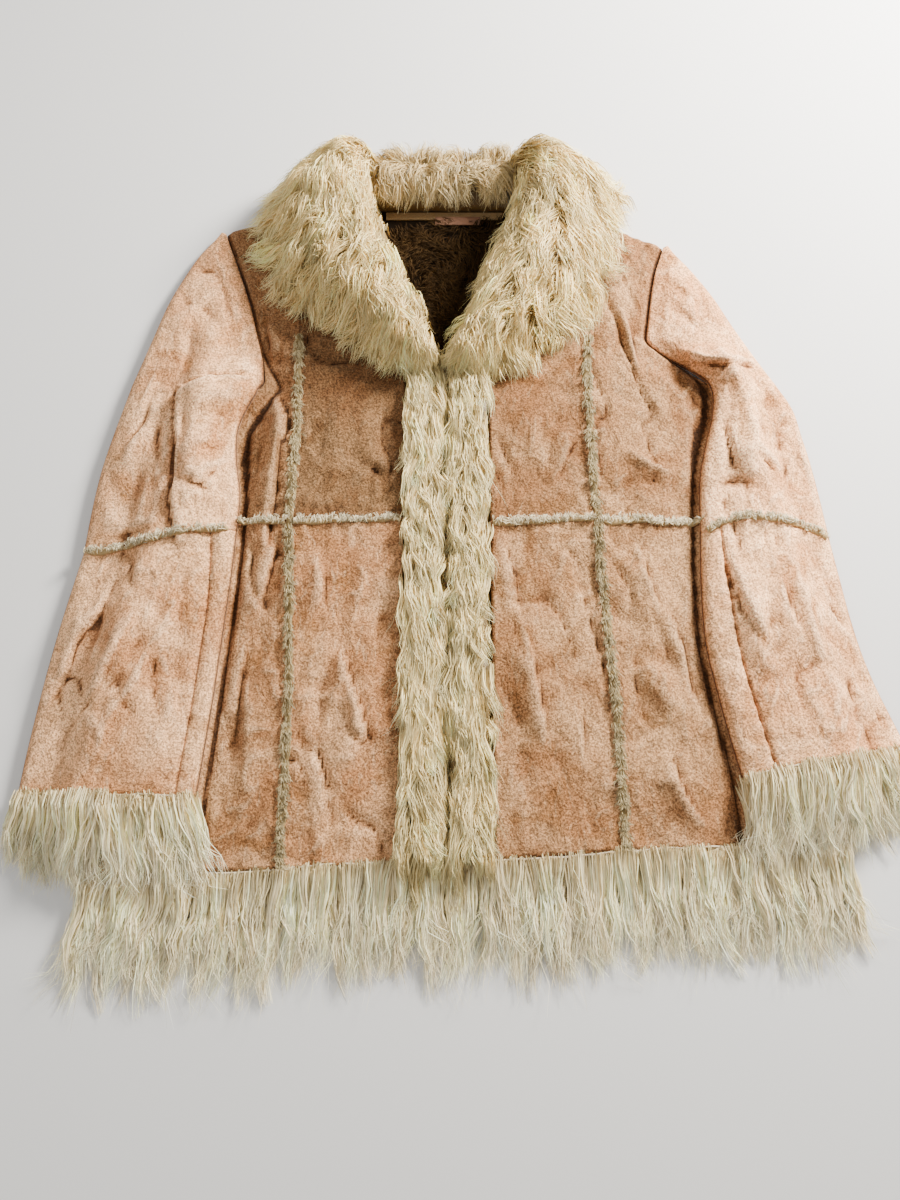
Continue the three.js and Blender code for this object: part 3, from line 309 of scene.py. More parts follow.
def creases(rows, x, y):
    """Height of the folds and creases of a table: round ridges and sharper troughs."""
    warped_x = x + 4.0 * noise(x, y, 38.0, 5)
    warped_y = y + 4.0 * noise(x, y, 38.0, 6)
    total = np.zeros_like(x)
    for x1, y1, x2, y2, width, height in rows:
        distance, t = segment(warped_x, warped_y, x1, y1, x2, y2)
        near = np.clip(1 - distance / width, 0, 1)
        across = 0.5 - 0.5 * np.cos(np.pi * near) if height > 0 else near ** 1.6
        total += height * across * (0.35 + 0.65 * np.sin(np.pi * t))
    return total


def folds(rows, x, y):
    """Height of the folds of a table: a lip, a step down and a gully along its foot."""
    warped_x = x + 5.0 * noise(x, y, 30.0, 7)
    warped_y = y + 5.0 * noise(x, y, 30.0, 8)
    total = np.zeros_like(x)
    for x1, y1, x2, y2, width, height in rows:
        distance, t = segment(warped_x, warped_y, x1, y1, x2, y2)
        cross = (x2 - x1) * (warped_y - y1) - (y2 - y1) * (warped_x - x1)
        left = smooth(0.5 + cross / math.hypot(x2 - x1, y2 - y1) / FOLD_STEP)
        lip = np.exp(-distance / width) * np.clip(2.5 - distance / width, 0, 1)
        gully = -0.45 * np.exp(-((distance / 4.5) ** 2))
        total += 1.4 * height * mix(gully, lip, left) * np.sin(np.pi * t) ** 0.6
    return total


def dents(x, y):
    """Small uneven rises and hollows of soft suede."""
    broad = 1.0 * noise(x, y, 46.0, 11) + 0.8 * noise(x + 0.6 * y, y - 0.4 * x, 27.0, 12)
    return broad + 0.4 * noise(x - 0.5 * y, y + 0.5 * x, 13.0, 13)


def crinkles(x, y):
    """Fine sharp wrinkles in patches, most of them running down the cloth."""
    bent_x = x + 7.0 * noise(x, y, 33.0, 21)
    bent_y = y + 7.0 * noise(x, y, 33.0, 22)
    broad = 1 - np.abs(noise(bent_x + 0.3 * bent_y, 0.36 * bent_y, 21.0, 23))
    fine = 1 - np.abs(noise(bent_x - 0.25 * bent_y, 0.5 * bent_y, 11.0, 24))
    patch = smooth(0.5 + 0.9 * noise(x, y, 52.0, 25))
    other = smooth(0.5 + 0.9 * noise(x, y, 41.0, 26))
    return 2.4 * other * (fine ** 4 - 0.35) - 4.0 * patch * (broad ** 6 - 0.25)


def puckers(distance, along):
    """The small gathers beside a seam, at this distance from it and this far along it."""
    wave = np.sin(2 * np.pi * along / 15.0 + 2.5 * noise(along, along * 0, 31.0, 17))
    return 0.7 * wave * np.exp(-distance / 9.0)


def distance_outside(x, y, points):
    """How far points lie outside a polygon, 0 within it."""
    inside = np.zeros(x.shape, bool)
    nearest = np.full(x.shape, 1e9)
    for (ax, ay), (bx, by) in zip(points, points[1:] + points[:1]):
        if ay != by:
            crosses = (ay > y) != (by > y)
            inside ^= crosses & (x < (bx - ax) * (y - ay) / (by - ay) + ax)
        nearest = np.minimum(nearest, segment(x, y, ax, ay, bx, by)[0])
    return np.where(inside, 0.0, nearest)


def shoulder_y(side, x):
    """Where the shoulder seam runs."""
    (neck_x, neck_y), (tip_x, tip_y) = BODY[side]["shoulder"]
    return mix(neck_y, tip_y, np.clip((x - neck_x) / (tip_x - neck_x), 0, 1))


def beside_sleeve(side, x, y):
    """Depth of the gap that the front makes along the sleeve, deepest under the arm."""
    from_cover = BODY[side]["sign"] * (CURVES[side]["cover"](y) - x)
    gap_end, gap_start = BODY[side]["gap"]
    deep = smooth((y - gap_end) / 14) * smooth((gap_start - y) / 14)
    across = (from_cover - 1 - 2 * deep) / (3.2 + 2 * deep)
    return (3.0 + 1.2 * deep) * np.exp(-(across ** 2))


def front_top(side, x, y):
    """Height of the suede of a front."""
    sign, curves = BODY[side]["sign"], CURVES[side]
    from_cover = sign * (curves["cover"](y) - x)
    loft = FRONT_LOFT * smooth(from_cover / 50) * smooth((shoulder_y(side, x) - y) / 60)
    free = smooth((from_cover + 2) / 12)
    shape = creases(FRONT_CREASES, x, y) + folds(FRONT_FOLDS, x, y)
    shape += dents(x, y) + crinkles(x, y)
    shape += puckers(np.abs(x - curves["seam"](y)), y) + puckers(np.abs(y - WAIST_Y), x)
    flat = FRONT_EDGE_TOP + loft - beside_sleeve(side, x, y)
    return flat + free * np.maximum(shape, -loft - 3.0)


def sleeve_floor(side, x, y):
    """Height of the underside of a sleeve: on the front, and down to the floor beside it."""
    outside = distance_outside(x, y, BODY[side]["under"])
    return np.maximum(0, SLEEVE_FLOOR - FOOT_SLOPE * np.maximum(0, outside - FOOT_MARGIN))


def collar_floor(side, x, y):
    """Height of what a roll of the collar lies on."""
    (neck_x, neck_y), (tip_x, tip_y) = BODY[side]["shoulder"]
    outline = [(0, 0), (0, neck_y), (neck_x, neck_y), (tip_x, tip_y), (tip_x, 0)]
    outside = np.maximum(0, distance_outside(x, y, outline) - COLLAR_MARGIN)
    return np.maximum(0, FRONT_EDGE_TOP + 2.5 - outside)


def spline(values, t):
    """A smooth curve through evenly spaced values, at places t counted in rows."""
    values = np.asarray(values, float)
    i = np.clip(np.floor(t).astype(int), 0, len(values) - 2)
    f = t - i
    padded = np.concatenate([[2 * values[0] - values[1]], values, [2 * values[-1] - values[-2]]])
    a, b, c, d = (padded[i + k] for k in range(4))
    return b + 0.5 * f * (c - a + f * (2 * a - 5 * b + 4 * c - d + f * (3 * (b - c) + d - a)))


# Meshes

def new_object(name, vertices, faces, material):
    """A smooth mesh from arrays of vertices in millimetres and of four-cornered faces."""
    mesh = bpy.data.meshes.new(name)
    count = len(faces)
    mesh.vertices.add(len(vertices))
    mesh.vertices.foreach_set("co", (np.asarray(vertices) * MM).astype(np.float32).ravel())
    mesh.loops.add(count * 4)
    mesh.loops.foreach_set("vertex_index", np.asarray(faces, np.int32).ravel())
    mesh.polygons.add(count)
    mesh.polygons.foreach_set("loop_start", np.arange(0, count * 4, 4, dtype=np.int32))
    mesh.update(calc_edges=True)
    mesh.polygons.foreach_set("use_smooth", np.ones(count, bool))
    mesh.materials.append(material)
    obj = bpy.data.objects.new(name, mesh)
    bpy.context.scene.collection.objects.link(obj)
    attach(obj, "root")
    return obj


def grid_faces(rows, columns, start=0, flip=False):
    index = start + np.arange(rows * columns).reshape(rows, columns)
    corners = [index[:-1, :-1], index[:-1, 1:], index[1:, 1:], index[1:, :-1]]
    if flip:
        corners.reverse()
    return np.stack([c.ravel() for c in corners], 1)


def wall_arrays(top, bottom):
    """Vertices and outward faces of a closed wall between two grids of points."""
    rows, columns = top.shape[:2]
    count = rows * columns
    step_u = top[rows // 2, -1] - top[rows // 2, 0]
    step_v = top[-1, 0] - top[0, 0]
    upward = step_u[0] * step_v[1] - step_u[1] * step_v[0] > 0
    faces = [grid_faces(rows, columns, 0, not upward), grid_faces(rows, columns, count, upward)]
    index = np.arange(count).reshape(rows, columns)
    ring = np.concatenate([index[0, :-1], index[:-1, -1], index[-1, :0:-1], index[:0:-1, 0]])
    after = np.roll(ring, -1)
    side = np.stack([ring, ring + count, after + count, after], 1)
    faces.append(side if upward else side[:, ::-1])
    vertices = np.concatenate([top.reshape(-1, 3), bottom.reshape(-1, 3)])
    return vertices, np.concatenate(faces)


def relief(points):
    """How far each point of a grid stands above its surroundings, 0.5 where level with them."""
    z = points[..., 2]
    around = z.copy()
    for axis in (0, 1):
        for _ in range(6):
            ends = np.pad(around, [(1, 1) if a == axis else (0, 0) for a in (0, 1)], mode="edge")
            before, after = np.delete(ends, [-2, -1], axis), np.delete(ends, [0, 1], axis)
            around = (before + 2 * around + after) / 4
    return np.clip(0.5 + 0.25 * (z - around), 0, 1).ravel()


def wall_object(name, walls, material, shade=0.0):
    """One object made of closed walls, each a pair of grids, with the relief of each less any
    painted shade, and its panel's dye and painted light.
    """
    vertices, faces, heights, start = [], [], [], 0
    for top, bottom in walls:
        v, f = wall_arrays(top, bottom)
        vertices.append(v)
        faces.append(f + start)
        heights.append(np.tile(np.clip(relief(top) - shade, 0, 1), 2))
        start += len(v)
    obj = new_object(name, np.concatenate(vertices), np.concatenate(faces), material)
    add_colours(obj, "relief", np.repeat(np.concatenate(heights)[:, None], 3, 1))
    # Each panel's dye and painted light and shade, as a colour that the suede multiplies in
    dye_and_light = PANEL_DYE_AND_LIGHT.get(name.removesuffix("_shell"), 1.0) ** np.array([1.0, 1.04, 1.15])
    add_colours(obj, "dye_and_light", np.tile(dye_and_light / 2, (len(obj.data.vertices), 1)))
    return obj


def add_colours(obj, name, colours):
    """Gives each vertex a colour, under this name."""
    layer = obj.data.color_attributes.new(name, "FLOAT_COLOR", "POINT")
    rgba = np.concatenate([colours, np.ones((len(colours), 1))], 1)
    layer.data.foreach_set("color", rgba.astype(np.float32).ravel())


# The height of the coat under the fleece, on a grid, so that hair lies on what is below it
MAP_STEP = 2.0
MAP_X = np.arange(-440.0, 441.0, MAP_STEP)
MAP_Y = np.arange(-440.0, 461.0, MAP_STEP)
height_map = np.zeros((len(MAP_X), len(MAP_Y)))


def stamp(points):
    """Raises the height map to a grid of points."""
    layer = np.zeros_like(height_map)
    p = points.reshape(-1, 3)
    i = np.clip(((p[:, 0] - MAP_X[0]) / MAP_STEP).round().astype(int), 1, len(MAP_X) - 2)
    j = np.clip(((p[:, 1] - MAP_Y[0]) / MAP_STEP).round().astype(int), 1, len(MAP_Y) - 2)
    for di in (-1, 0, 1):
        for dj in (-1, 0, 1):
            np.maximum.at(layer, (i + di, j + dj), p[:, 2])
    np.maximum(height_map, layer, out=height_map)


def height_at(x, y):
    """Height of the coat so far."""
    u = np.clip((x - MAP_X[0]) / MAP_STEP, 0, len(MAP_X) - 1.001)
    v = np.clip((y - MAP_Y[0]) / MAP_STEP, 0, len(MAP_Y) - 1.001)
    i, j = u.astype(int), v.astype(int)
    low = mix(height_map[i, j], height_map[i + 1, j], u - i)
    high = mix(height_map[i, j + 1], height_map[i + 1, j + 1], u - i)
    return mix(low, high, v - j)


# Suede panels of the fronts

def edge(curve, top_y, bottom_y, rows):
    """A curve as rows of (x, y)."""
    y = np.linspace(top_y, bottom_y, rows)
    return np.stack([curve(y), y], 1)


def front_panel(name, side, inner, outer, material):
    """A wall of suede between two edges given as rows of (x, y)."""
    columns = int(np.abs(inner[:, 0] - outer[:, 0]).max() / CELL) + 2
    u = np.linspace(0, 1, columns)[None, :]
    gap = BODY[side]["sign"] * SEAM / 2 * (1 - 2 * u)
    x = mix(inner[:, :1], outer[:, :1], u) + gap
    y = mix(inner[:, 1:], outer[:, 1:], u)
    top = np.stack([x, y, front_top(side, x, y)], 2)
    bottom = np.stack([x, y, np.maximum(top[..., 2] - WALL, WALL + 0.1)], 2)
    stamp(top)
    # Painted shade in the gap along the sleeve: the relief there is lowered, so the suede is darker
    shade = 0.11 * beside_sleeve(side, x, y).ravel()
    obj = wall_object(f"{name}_shell", [(top, bottom)], material, shade)
    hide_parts(name)
    return obj


def build_front(side, material):
    """The four panels of one front, by node name."""
    curves = CURVES[side]
    neck_y, tip_y = (place[1] for place in BODY[side]["shoulder"])
    tops = {"neck": neck_y, "seam": float(shoulder_y(side, BODY[side]["seam"][0][1])),
            "side": tip_y}
    waist, below = WAIST_Y + SEAM / 2, WAIST_Y - SEAM / 2
    panels = {}
    for level, rows in (("upper", int((neck_y - waist) / CELL)), ("lower", int(290 / CELL))):
        edges = {}
        for key in ("neck", "seam", "side"):
            start, end = (tops[key], waist) if level == "upper" else (below, hem_end(side, key))
            edges[key] = edge(curves[key], start, end, rows)
        for part, inner, outer in (("centre", "neck", "seam"), ("side", "seam", "side")):
            name = f"front_{side}_{part}_{level}"
            panels[name] = front_panel(name, side, edges[inner], edges[outer], material)
    return panels


def hem_end(side, key):
    """Where one of a front's edges meets the hem seam."""
    return float(hem_y(CURVES[side][key](-293.0)))


# Sleeves

def row_place(row, u):
    """Places at shares u across a row of a sleeve."""
    in_x, in_y, out_x, out_y, _, bow, _ = row
    return mix(in_x, out_x, u), mix(in_y, out_y, u) + 4 * bow * u * (1 - u)


def sleeve_grid(side, part, start, end, cell=CELL):
    """Places and shares across of a sleeve's rows, between two shares given over the rows."""
    table = np.array(SLEEVES[side][part], float)
    length = np.hypot(*(table[-1, 2:4] - table[0, 2:4]))
    t = np.linspace(0, len(table) - 1, int(length / cell) + 2)
    in_x, in_y, out_x, out_y, fullness, bow, strip = (spline(column, t) for column in table.T)
    armhole = np.interp(t, [0, 5, 7], [1, 1, 0]) if part == "upper" else t * 0
    edge_x = CURVES[side]["side"](in_y) + BODY[side]["sign"] * 0.5
    in_x = mix(in_x, edge_x, np.clip(armhole * 1.4, 0, 1))
    span = np.hypot(out_x - in_x, out_y - in_y)
    first, last = start(strip), end(strip)
    columns = int((span * (last - first)).max() / cell) + 3
    u = mix(first[:, None], last[:, None], np.linspace(0, 1, columns)[None, :])
    x = mix(in_x[:, None], out_x[:, None], u)
    y = mix(in_y[:, None], out_y[:, None], u) + 4 * bow[:, None] * u * (1 - u)
    seam = strip if part == "lower" else np.full_like(strip, -1.0)
    return {
        "x": x, "y": y, "u": u, "span": span[:, None], "fullness": fullness[:, None],
        "armhole": armhole[:, None], "seam": seam[:, None],
    }


def rolled(distance):
    """Share of its full height that cloth has this far in from a folded edge."""
    return np.sqrt(np.maximum(0, 1 - (1 - np.clip(distance / EDGE_ROLL, 0, 1)) ** 2))


def sleeve_levels(side, grid):
    """Heights of the underside, of the plane between the two sides, and of the top."""
    x, y, u, span, armhole = (grid[key] for key in ("x", "y", "u", "span", "armhole"))
    floor = sleeve_floor(side, x, y)
    middle = floor + WALL
    from_inner, from_outer = u * span, (1 - u) * span
    full = SLEEVE_LOFT * grid["fullness"] * np.maximum(0, np.sin(np.pi * u)) ** 0.8
    fade = smooth(np.minimum(from_inner, from_outer) / 20)
    shape = creases(SLEEVE_CREASES, x, y) + folds(SLEEVE_FOLDS, x, y)
    shape += dents(x, y) + crinkles(x, y)
    from_seam = np.abs(u - grid["seam"]) * span
    shape += puckers(from_seam, y) - 1.6 * np.exp(-((from_seam / 2.4) ** 2))
    roll = rolled(from_outer) * mix(rolled(from_inner), 1, armhole)
    top = middle + 0.6 + (WALL + full + fade * shape) * roll
    inset = armhole * (1 - smooth(from_inner / ARMHOLE_BLEND))
    top = mix(top, FRONT_EDGE_TOP + 0.4 - 1.2 * np.exp(-((from_inner / 2.5) ** 2)), inset)
    middle = np.minimum(middle, top - 2.5)
    floor = np.maximum(0, np.minimum(floor, middle - 2.0))
    return floor, middle, top, roll


def sleeve_top_wall(side, part, start, end):
    grid = sleeve_grid(side, part, start, end)
    _, middle, top, _ = sleeve_levels(side, grid)
    upper = np.stack([grid["x"], grid["y"], top], 2)
    lining = np.minimum(np.maximum(middle + 0.15, top - WALL), top - 0.3)
    lower = np.stack([grid["x"], grid["y"], lining], 2)
    stamp(upper)
    return upper, lower


def sleeve_under_wall(side, part):
    grid = sleeve_grid(side, part, nothing, everything, 2 * CELL)
    floor, middle, _, roll = sleeve_levels(side, grid)
    upper = np.stack([grid["x"], grid["y"], middle - 0.15], 2)
    lower = np.stack([grid["x"], grid["y"], mix(middle - 0.6, floor, roll)], 2)
    return upper, lower


def nothing(strip):
    return strip * 0


def everything(strip):
    return strip * 0 + 1


def build_sleeve(side, material):
    """The four panels of a sleeve, by node name."""
    walls = {
        "top_upper": [sleeve_top_wall(side, "upper", nothing, everything)],
        "top_lower": [sleeve_top_wall(side, "lower", lambda strip: strip + 0.002, everything)],
        "under_upper": [sleeve_under_wall(side, "upper")],
        "under_lower": [sleeve_top_wall(side, "lower", nothing, lambda strip: strip),
                        sleeve_under_wall(side, "lower")],
    }
    panels = {}
    for part, pair in walls.items():
        name = f"sleeve_{side}_{part}"
        panels[name] = wall_object(f"{name}_shell", pair, material)
        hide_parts(name)
    return panels


# Bodies of the collar and of the bands, under their hair

def collar_profile(u):
    """Share of a roll's height at u across it, from a cut inner edge to nothing outside."""
    peak = 0.35
    rise = 0.5 + 0.5 * np.sin(np.pi / 2 * np.minimum(u / peak, 1))
    fall = np.cos(np.pi / 2 * np.clip((u - peak) / (1 - peak), 0, 1))
    return np.where(u < peak, rise, fall)


def collar_place(side, v, u):
    """Places on a roll at v rows up it and at u across it, and its own crown there."""
    in_x, in_y, out_x, out_y, crown = (spline(column, v) for column in zip(*COLLARS[side]))
    return mix(in_x, out_x, u), mix(in_y, out_y, u), crown


def collar_body(side):
    v, u = np.meshgrid(np.linspace(0, COLLAR_END, 70), np.linspace(0, 1, 30), indexing="ij")
    x, y, crown = collar_place(side, v, 0.02 + u * COLLAR_WIDTH)
    crown = crown * smooth(0.3 + (COLLAR_END - v) / 1.6)
    floor = collar_floor(side, x, y)
    lumps = 3.0 * noise(x, y, 24.0, 31) * np.sin(np.pi * u)
    height = 1 + (COLLAR_BODY * crown - 1) * collar_profile(u) + lumps
    top = np.stack([x, y, floor + np.maximum(0.8, height)], 2)
    stamp(top)
    return top, np.stack([x, y, floor], 2)


def collar_back_body():
    x0, x1 = COLLAR_BACK["x"]
    y0, y1 = COLLAR_BACK["y"]
    v, u = np.meshgrid(np.linspace(0, 1, 24), np.linspace(0, 1, 40), indexing="ij")
    x, y = mix(x0, x1, u), mix(y0, y1 - 8, v)
    lumps = 2.0 * noise(x, y, 20.0, 32)
    height = 4 + (COLLAR_BACK["crown"] - 6) * np.sin(np.pi * (0.12 + 0.8 * v)) + lumps
    top = np.stack([x, y, np.maximum(height, 2)], 2)
    stamp(top)
    return top, np.stack([x, y, x * 0 + 0.2], 2)


def band_body(side):
    sign = BODY[side]["sign"]
    outer = abs(BODY[side]["neck"][-1][1]) - 0.2
    v, u = np.meshgrid(np.linspace(0, 1, 110), np.linspace(0, 1, 12), indexing="ij")
    y = mix(BAND_TOP_Y + 8, float(hem_y(0)) + 1, v)
    x = mix(sign * outer, BAND_SPLIT + sign * 1.6, u)
    height = 2 + 8 * np.sqrt(np.sin(np.pi * (0.06 + 0.88 * u))) + 1.2 * noise(x, y, 14.0, 33)
    top = np.stack([x, y, FRONT_FLOOR + height], 2)
    stamp(top)
    return top, np.stack([x, y, x * 0 + FRONT_FLOOR], 2)


# Hair

def style(**changes):
    """How a field of hair grows: lengths in millimetres, angles in degrees.

    "under" is how bright the body under the hair is beside the hair's own roots.
    """
    base = {
        "strands": 40, "points": 6, "spread": 5.0, "gather": 0.75, "bend": 14.0, "stray": 7.0,
        "wave": 2.0, "wavelength": 22.0, "lift": 4.0, "depth": 5.0, "fall": 0.9, "width": 1.0,
        "under": 0.8, "colours": COLLAR_FUR,
    }
    return {**base, **changes}


def bent_paths(roots, heading, length, s, rng):
    """Strands before they wave: places, angle, clump, whole reach and length of a step."""
    clumps, points = len(roots), s["points"]
    which = np.repeat(np.arange(clumps), s["strands"])
    count = len(which)
    t = np.linspace(0, 1, points)[None, :]
    bend = np.radians(s["bend"]) * rng.normal(size=clumps)
    stray = np.radians(s["stray"]) * rng.normal(size=count)
    angle = heading[which][:, None] + (bend[which] + stray)[:, None] * t
    reach = length[which] * rng.uniform(0.62, 1.04, count)
    step = reach[:, None] / (points - 1)
    radius = s["spread"] * np.sqrt(rng.uniform(0, 1, count))
    around = rng.uniform(0, 2 * np.pi, count)
    keep = 1 - s["gather"] * t ** 0.8
    x = roots[which, :1] + (radius * np.cos(around))[:, None] * keep
    y = roots[which, 1:] + (radius * np.sin(around))[:, None] * keep
    x[:, 1:] += np.cumsum(np.cos(angle) * step, 1)[:, :-1]
    y[:, 1:] += np.cumsum(np.sin(angle) * step, 1)[:, :-1]
    return x, y, angle, which, reach, step


def grow(roots, heading, length, s, seed):
    """Paths of clumped, wavy strands: for each clump a root (x, y), a heading and a length."""
    rng = np.random.default_rng(seed)
    x, y, angle, which, reach, step = bent_paths(roots, heading, length, s, rng)
    clumps, count, points = len(roots), len(which), s["points"]
    t = np.linspace(0, 1, points)[None, :]
    wavelength = s["wavelength"] * rng.uniform(0.75, 1.3, clumps)[which]
    phase = rng.uniform(0, 2 * np.pi, clumps)[which] + 0.5 * rng.normal(size=count)
    turn = 2 * np.pi * reach[:, None] * t / wavelength[:, None] + phase[:, None]
    size = s["wave"] * rng.uniform(0.5, 1.4, clumps)[which] * rng.uniform(0.7, 1.3, count)
    ramp = size[:, None] * t ** 0.7
    x -= np.sin(angle) * np.sin(turn) * ramp
    y += np.cos(angle) * np.sin(turn) * ramp
    layer = s["depth"] * rng.uniform(0, 1, count)[:, None] * (0.4 + 0.6 * np.sin(np.pi * t))
    rise = s["lift"] * rng.uniform(0.4, 1.2, clumps)[which][:, None] * np.sin(np.pi * t ** 0.8)
    z = height_at(x, y) + 0.4 + layer + rise + 0.6 * ramp * (1 + np.cos(turn))
    for k in range(1, points):
        z[:, k] = np.maximum(z[:, k], z[:, k - 1] - s["fall"] * step[:, 0])
    return np.stack([x, y, z], 2), which


def hair_colours(which, points, s, seed):
    """Colours along each strand, from a dark root to a pale tip, uneven from clump to clump."""
    rng = np.random.default_rng(seed)
    root, middle, tip = (np.array(c) for c in s["colours"])
    t = np.linspace(0, 1, points)[None, :, None]
    shade = rng.normal(0, 0.13, which.max() + 1)[which] + rng.normal(0, 0.12, len(which))
    pale = rng.uniform(0.35, 1.0, len(which))[:, None, None]
    start = rng.uniform(0.0, 0.3, len(which))[:, None, None]
    colour = mix(root, middle, smooth((t + start) / 0.42))
    colour = mix(colour, tip, smooth((t - 0.35) / 0.65) * pale)
    return np.clip(colour * (1 + shade[:, None, None]), 0, 1)


def ribbons(paths, widths, seed):
    """Thin tilted ribbons along paths: their vertices and faces."""
    rng = np.random.default_rng(seed)
    count, points = paths.shape[:2]
    along = np.gradient(paths, axis=1)
    along /= np.linalg.norm(along, axis=2, keepdims=True) + 1e-9
    across = np.stack([-along[..., 1], along[..., 0], along[..., 2] * 0], 2)
    across /= np.linalg.norm(across, axis=2, keepdims=True) + 1e-9
    up = np.cross(along, across)
    tilt = np.radians(rng.uniform(-55, 55, count))[:, None, None]
    half = (across * np.cos(tilt) + up * np.sin(tilt)) * widths[..., None] / 2
    vertices = np.stack([paths - half, paths + half], 2).reshape(-1, 3)
    vertices[:, 2] = np.maximum(vertices[:, 2], 0.05)
    base = (np.arange(count) * points * 2)[:, None] + (np.arange(points - 1) * 2)[None, :]
    faces = np.stack([base, base + 2, base + 3, base + 1], 2).reshape(-1, 4)
    return vertices, faces


def hair_object(name, fields, material, bodies=()):
    """One object from fields of hair and the closed bodies that they grow on."""
    vertices, faces, colours, start = [], [], [], 0
    for number, (roots, heading, length, s) in enumerate(fields):
        seed = sum(map(ord, name)) * 7 + number
        paths, which = grow(roots, heading, length, s, seed)
        t = np.linspace(0, 1, s["points"])[None, :]
        own = np.random.default_rng(seed + 1).uniform(0.6, 1.3, len(which))[:, None]
        taper = np.maximum(0.16, (1 - t ** 2.2) * (0.55 + 0.45 * smooth(t * 4)))
        v, f = ribbons(paths, s["width"] * own * taper, seed + 2)
        vertices.append(v)
        faces.append(f + start)
        tones = hair_colours(which, s["points"], s, seed + 3)
        colours.append(np.repeat(tones, 2, 1).reshape(-1, 3))
        start += len(v)
    finest = fields[-1][3]
    for top, bottom in bodies:
        v, f = wall_arrays(top, bottom)
        vertices.append(v)
        faces.append(f + start)
        colours.append(np.tile(finest["colours"][0], (len(v), 1)) * finest["under"])
        start += len(v)
    obj = new_object(name, np.concatenate(vertices), np.concatenate(faces), material)
    add_colours(obj, "hair", np.concatenate(colours))
    return obj


def lay_angles(side, v, u):
    """Which way the hair of a roll lies at v rows up it and at u across it, in radians."""
    table = np.radians(COLLAR_LAY[side])
    row = np.clip(v / 2.5, 0, 3.999)
    column = np.clip(u / 0.4, 0, 1.999)
    i, j = row.astype(int), column.astype(int)
    low = mix(table[i, j], table[i, j + 1], column - j)
    high = mix(table[i + 1, j], table[i + 1, j + 1], column - j)
    return mix(low, high, row - i)


def scattered(rng, count):
    """Two shares from 0 to 1 for each of a number of places spread evenly over a square."""
    number = np.arange(count)
    u = (number * 0.618034 + rng.uniform(0, 0.04, count)) % 1
    return u, (number + rng.uniform(0, 1, count)) / count


def stopped(x, y, heading, wanted, outline, spare):
    """Lengths that end where the hair would be this far outside an outline."""
    steps = np.arange(4.0, 76.0, 3.0)[:, None]
    ahead_x, ahead_y = x + np.cos(heading) * steps, y + np.sin(heading) * steps
    past = distance_outside(ahead_x, ahead_y, outline) > spare
    first = np.where(past.any(0), steps[past.argmax(0), 0], steps[-1, 0])
    return np.minimum(wanted, first)


def collar_field(side, clumps, s, seed, reach):
    rng = np.random.default_rng(seed)
    u, v = scattered(rng, clumps)
    u, v = COLLAR_WIDTH * u, 0.1 + 9.8 * v
    x, y, _ = collar_place(side, v, u)
    heading = lay_angles(side, v, u) + np.radians(15) * rng.normal(size=clumps)
    outline = [row[:2] for row in COLLARS[side]] + [row[2:4] for row in COLLARS[side][::-1]]
    wanted = reach * rng.uniform(0.75, 1.15, clumps)
    spare = rng.uniform(-4, 6, clumps) + 12 * (v < 1.6)
    length = stopped(x, y, heading, wanted, outline, spare)
    return np.stack([x, y], 1), heading, np.maximum(length, 13), s


def build_collar(side, material):
    body = collar_body(side)
    long_hair = style(strands=42, points=7, spread=8.5, gather=0.32, wave=3.8, wavelength=33, lift=6,
                      depth=8, bend=24, stray=6, width=0.88)
    wisps = style(strands=6, spread=5, gather=0.2, wave=3.5, wavelength=24, lift=9, bend=30,
                  stray=18, width=0.4)
    fields = [collar_field(side, 230, long_hair, 41, 60), collar_field(side, 130, wisps, 42, 68)]
    obj = hair_object(f"collar_{side}_fur", fields, material, [body])
    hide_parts(f"collar_{side}")
    return obj


def build_collar_back(material):
    body = collar_back_body()
    rng = np.random.default_rng(51)
    clumps = 110
    x0, x1 = COLLAR_BACK["x"]
    y0, y1 = COLLAR_BACK["y"]
    u, v = scattered(rng, clumps)
    x, y = mix(x0 - 4, x1 + 4, u), mix(y0 + 14, y1 + 4, v)
    way = np.where(y > y1 - 9, 1, -1)
    heading = np.radians(90 * way + rng.normal(0, 30, clumps) - 0.25 * x * way)
    upward = rng.uniform(20, 32, clumps) + (y1 - y) * 0.5
    downward = np.minimum(rng.uniform(28, 46, clumps), y - y0 + 3)
    length = np.maximum(np.where(way > 0, upward, downward), 12)
    curls = style(strands=44, spread=7, gather=0.3, wave=3.4, wavelength=30, lift=5, depth=6,
                  bend=30, width=0.8, colours=BACK_FUR)
    fields = [(np.stack([x, y], 1), heading, length, curls)]
    obj = hair_object("collar_back_fur", fields, material, [body])
    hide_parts("collar_back")
    return obj


def build_band(side, material):
    body = band_body(side)
    sign = BODY[side]["sign"]
    rng = np.random.default_rng(61 if side == "left" else 62)
    clumps = 125
    share, level = scattered(rng, clumps)
    y = mix(float(hem_y(0)) + 4, BAND_TOP_Y + 24, level)
    x = BAND_SPLIT + sign * mix(4, 35, share)
    low = smooth((40 - y) / 200)
    flare = mix(-5, 4, share) + rng.normal(0, 6, clumps)
    heading = np.radians(-90 + sign * flare)
    left, right = CURVES["left"]["neck"](0.0), CURVES["right"]["neck"](0.0)
    outline = [(left, -420), (left, 180), (right, 180), (right, -420)]
    wanted = mix(50, 78, low) * rng.uniform(0.8, 1.2, clumps)
    length = np.maximum(24, stopped(x, y, heading, wanted, outline, rng.uniform(-2, 3, clumps)))
    curly = style(strands=46, points=7, spread=6, gather=0.4, wave=4.0, wavelength=40, lift=3.5,
                  depth=7, bend=10, stray=4, width=0.88, colours=BAND_FUR)
    wisps = style(strands=5, spread=6, gather=0.2, wave=2.5, wavelength=20, lift=5, bend=20,
                  stray=14, width=0.4, colours=BAND_FUR)
    roots = np.stack([x, y], 1)
    fields = [(roots, heading, length, curly), (roots, heading, length * 1.1, wisps)]
    obj = hair_object(f"band_{side}_fur", fields, material, [body])
    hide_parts(f"band_{side}")
    return obj


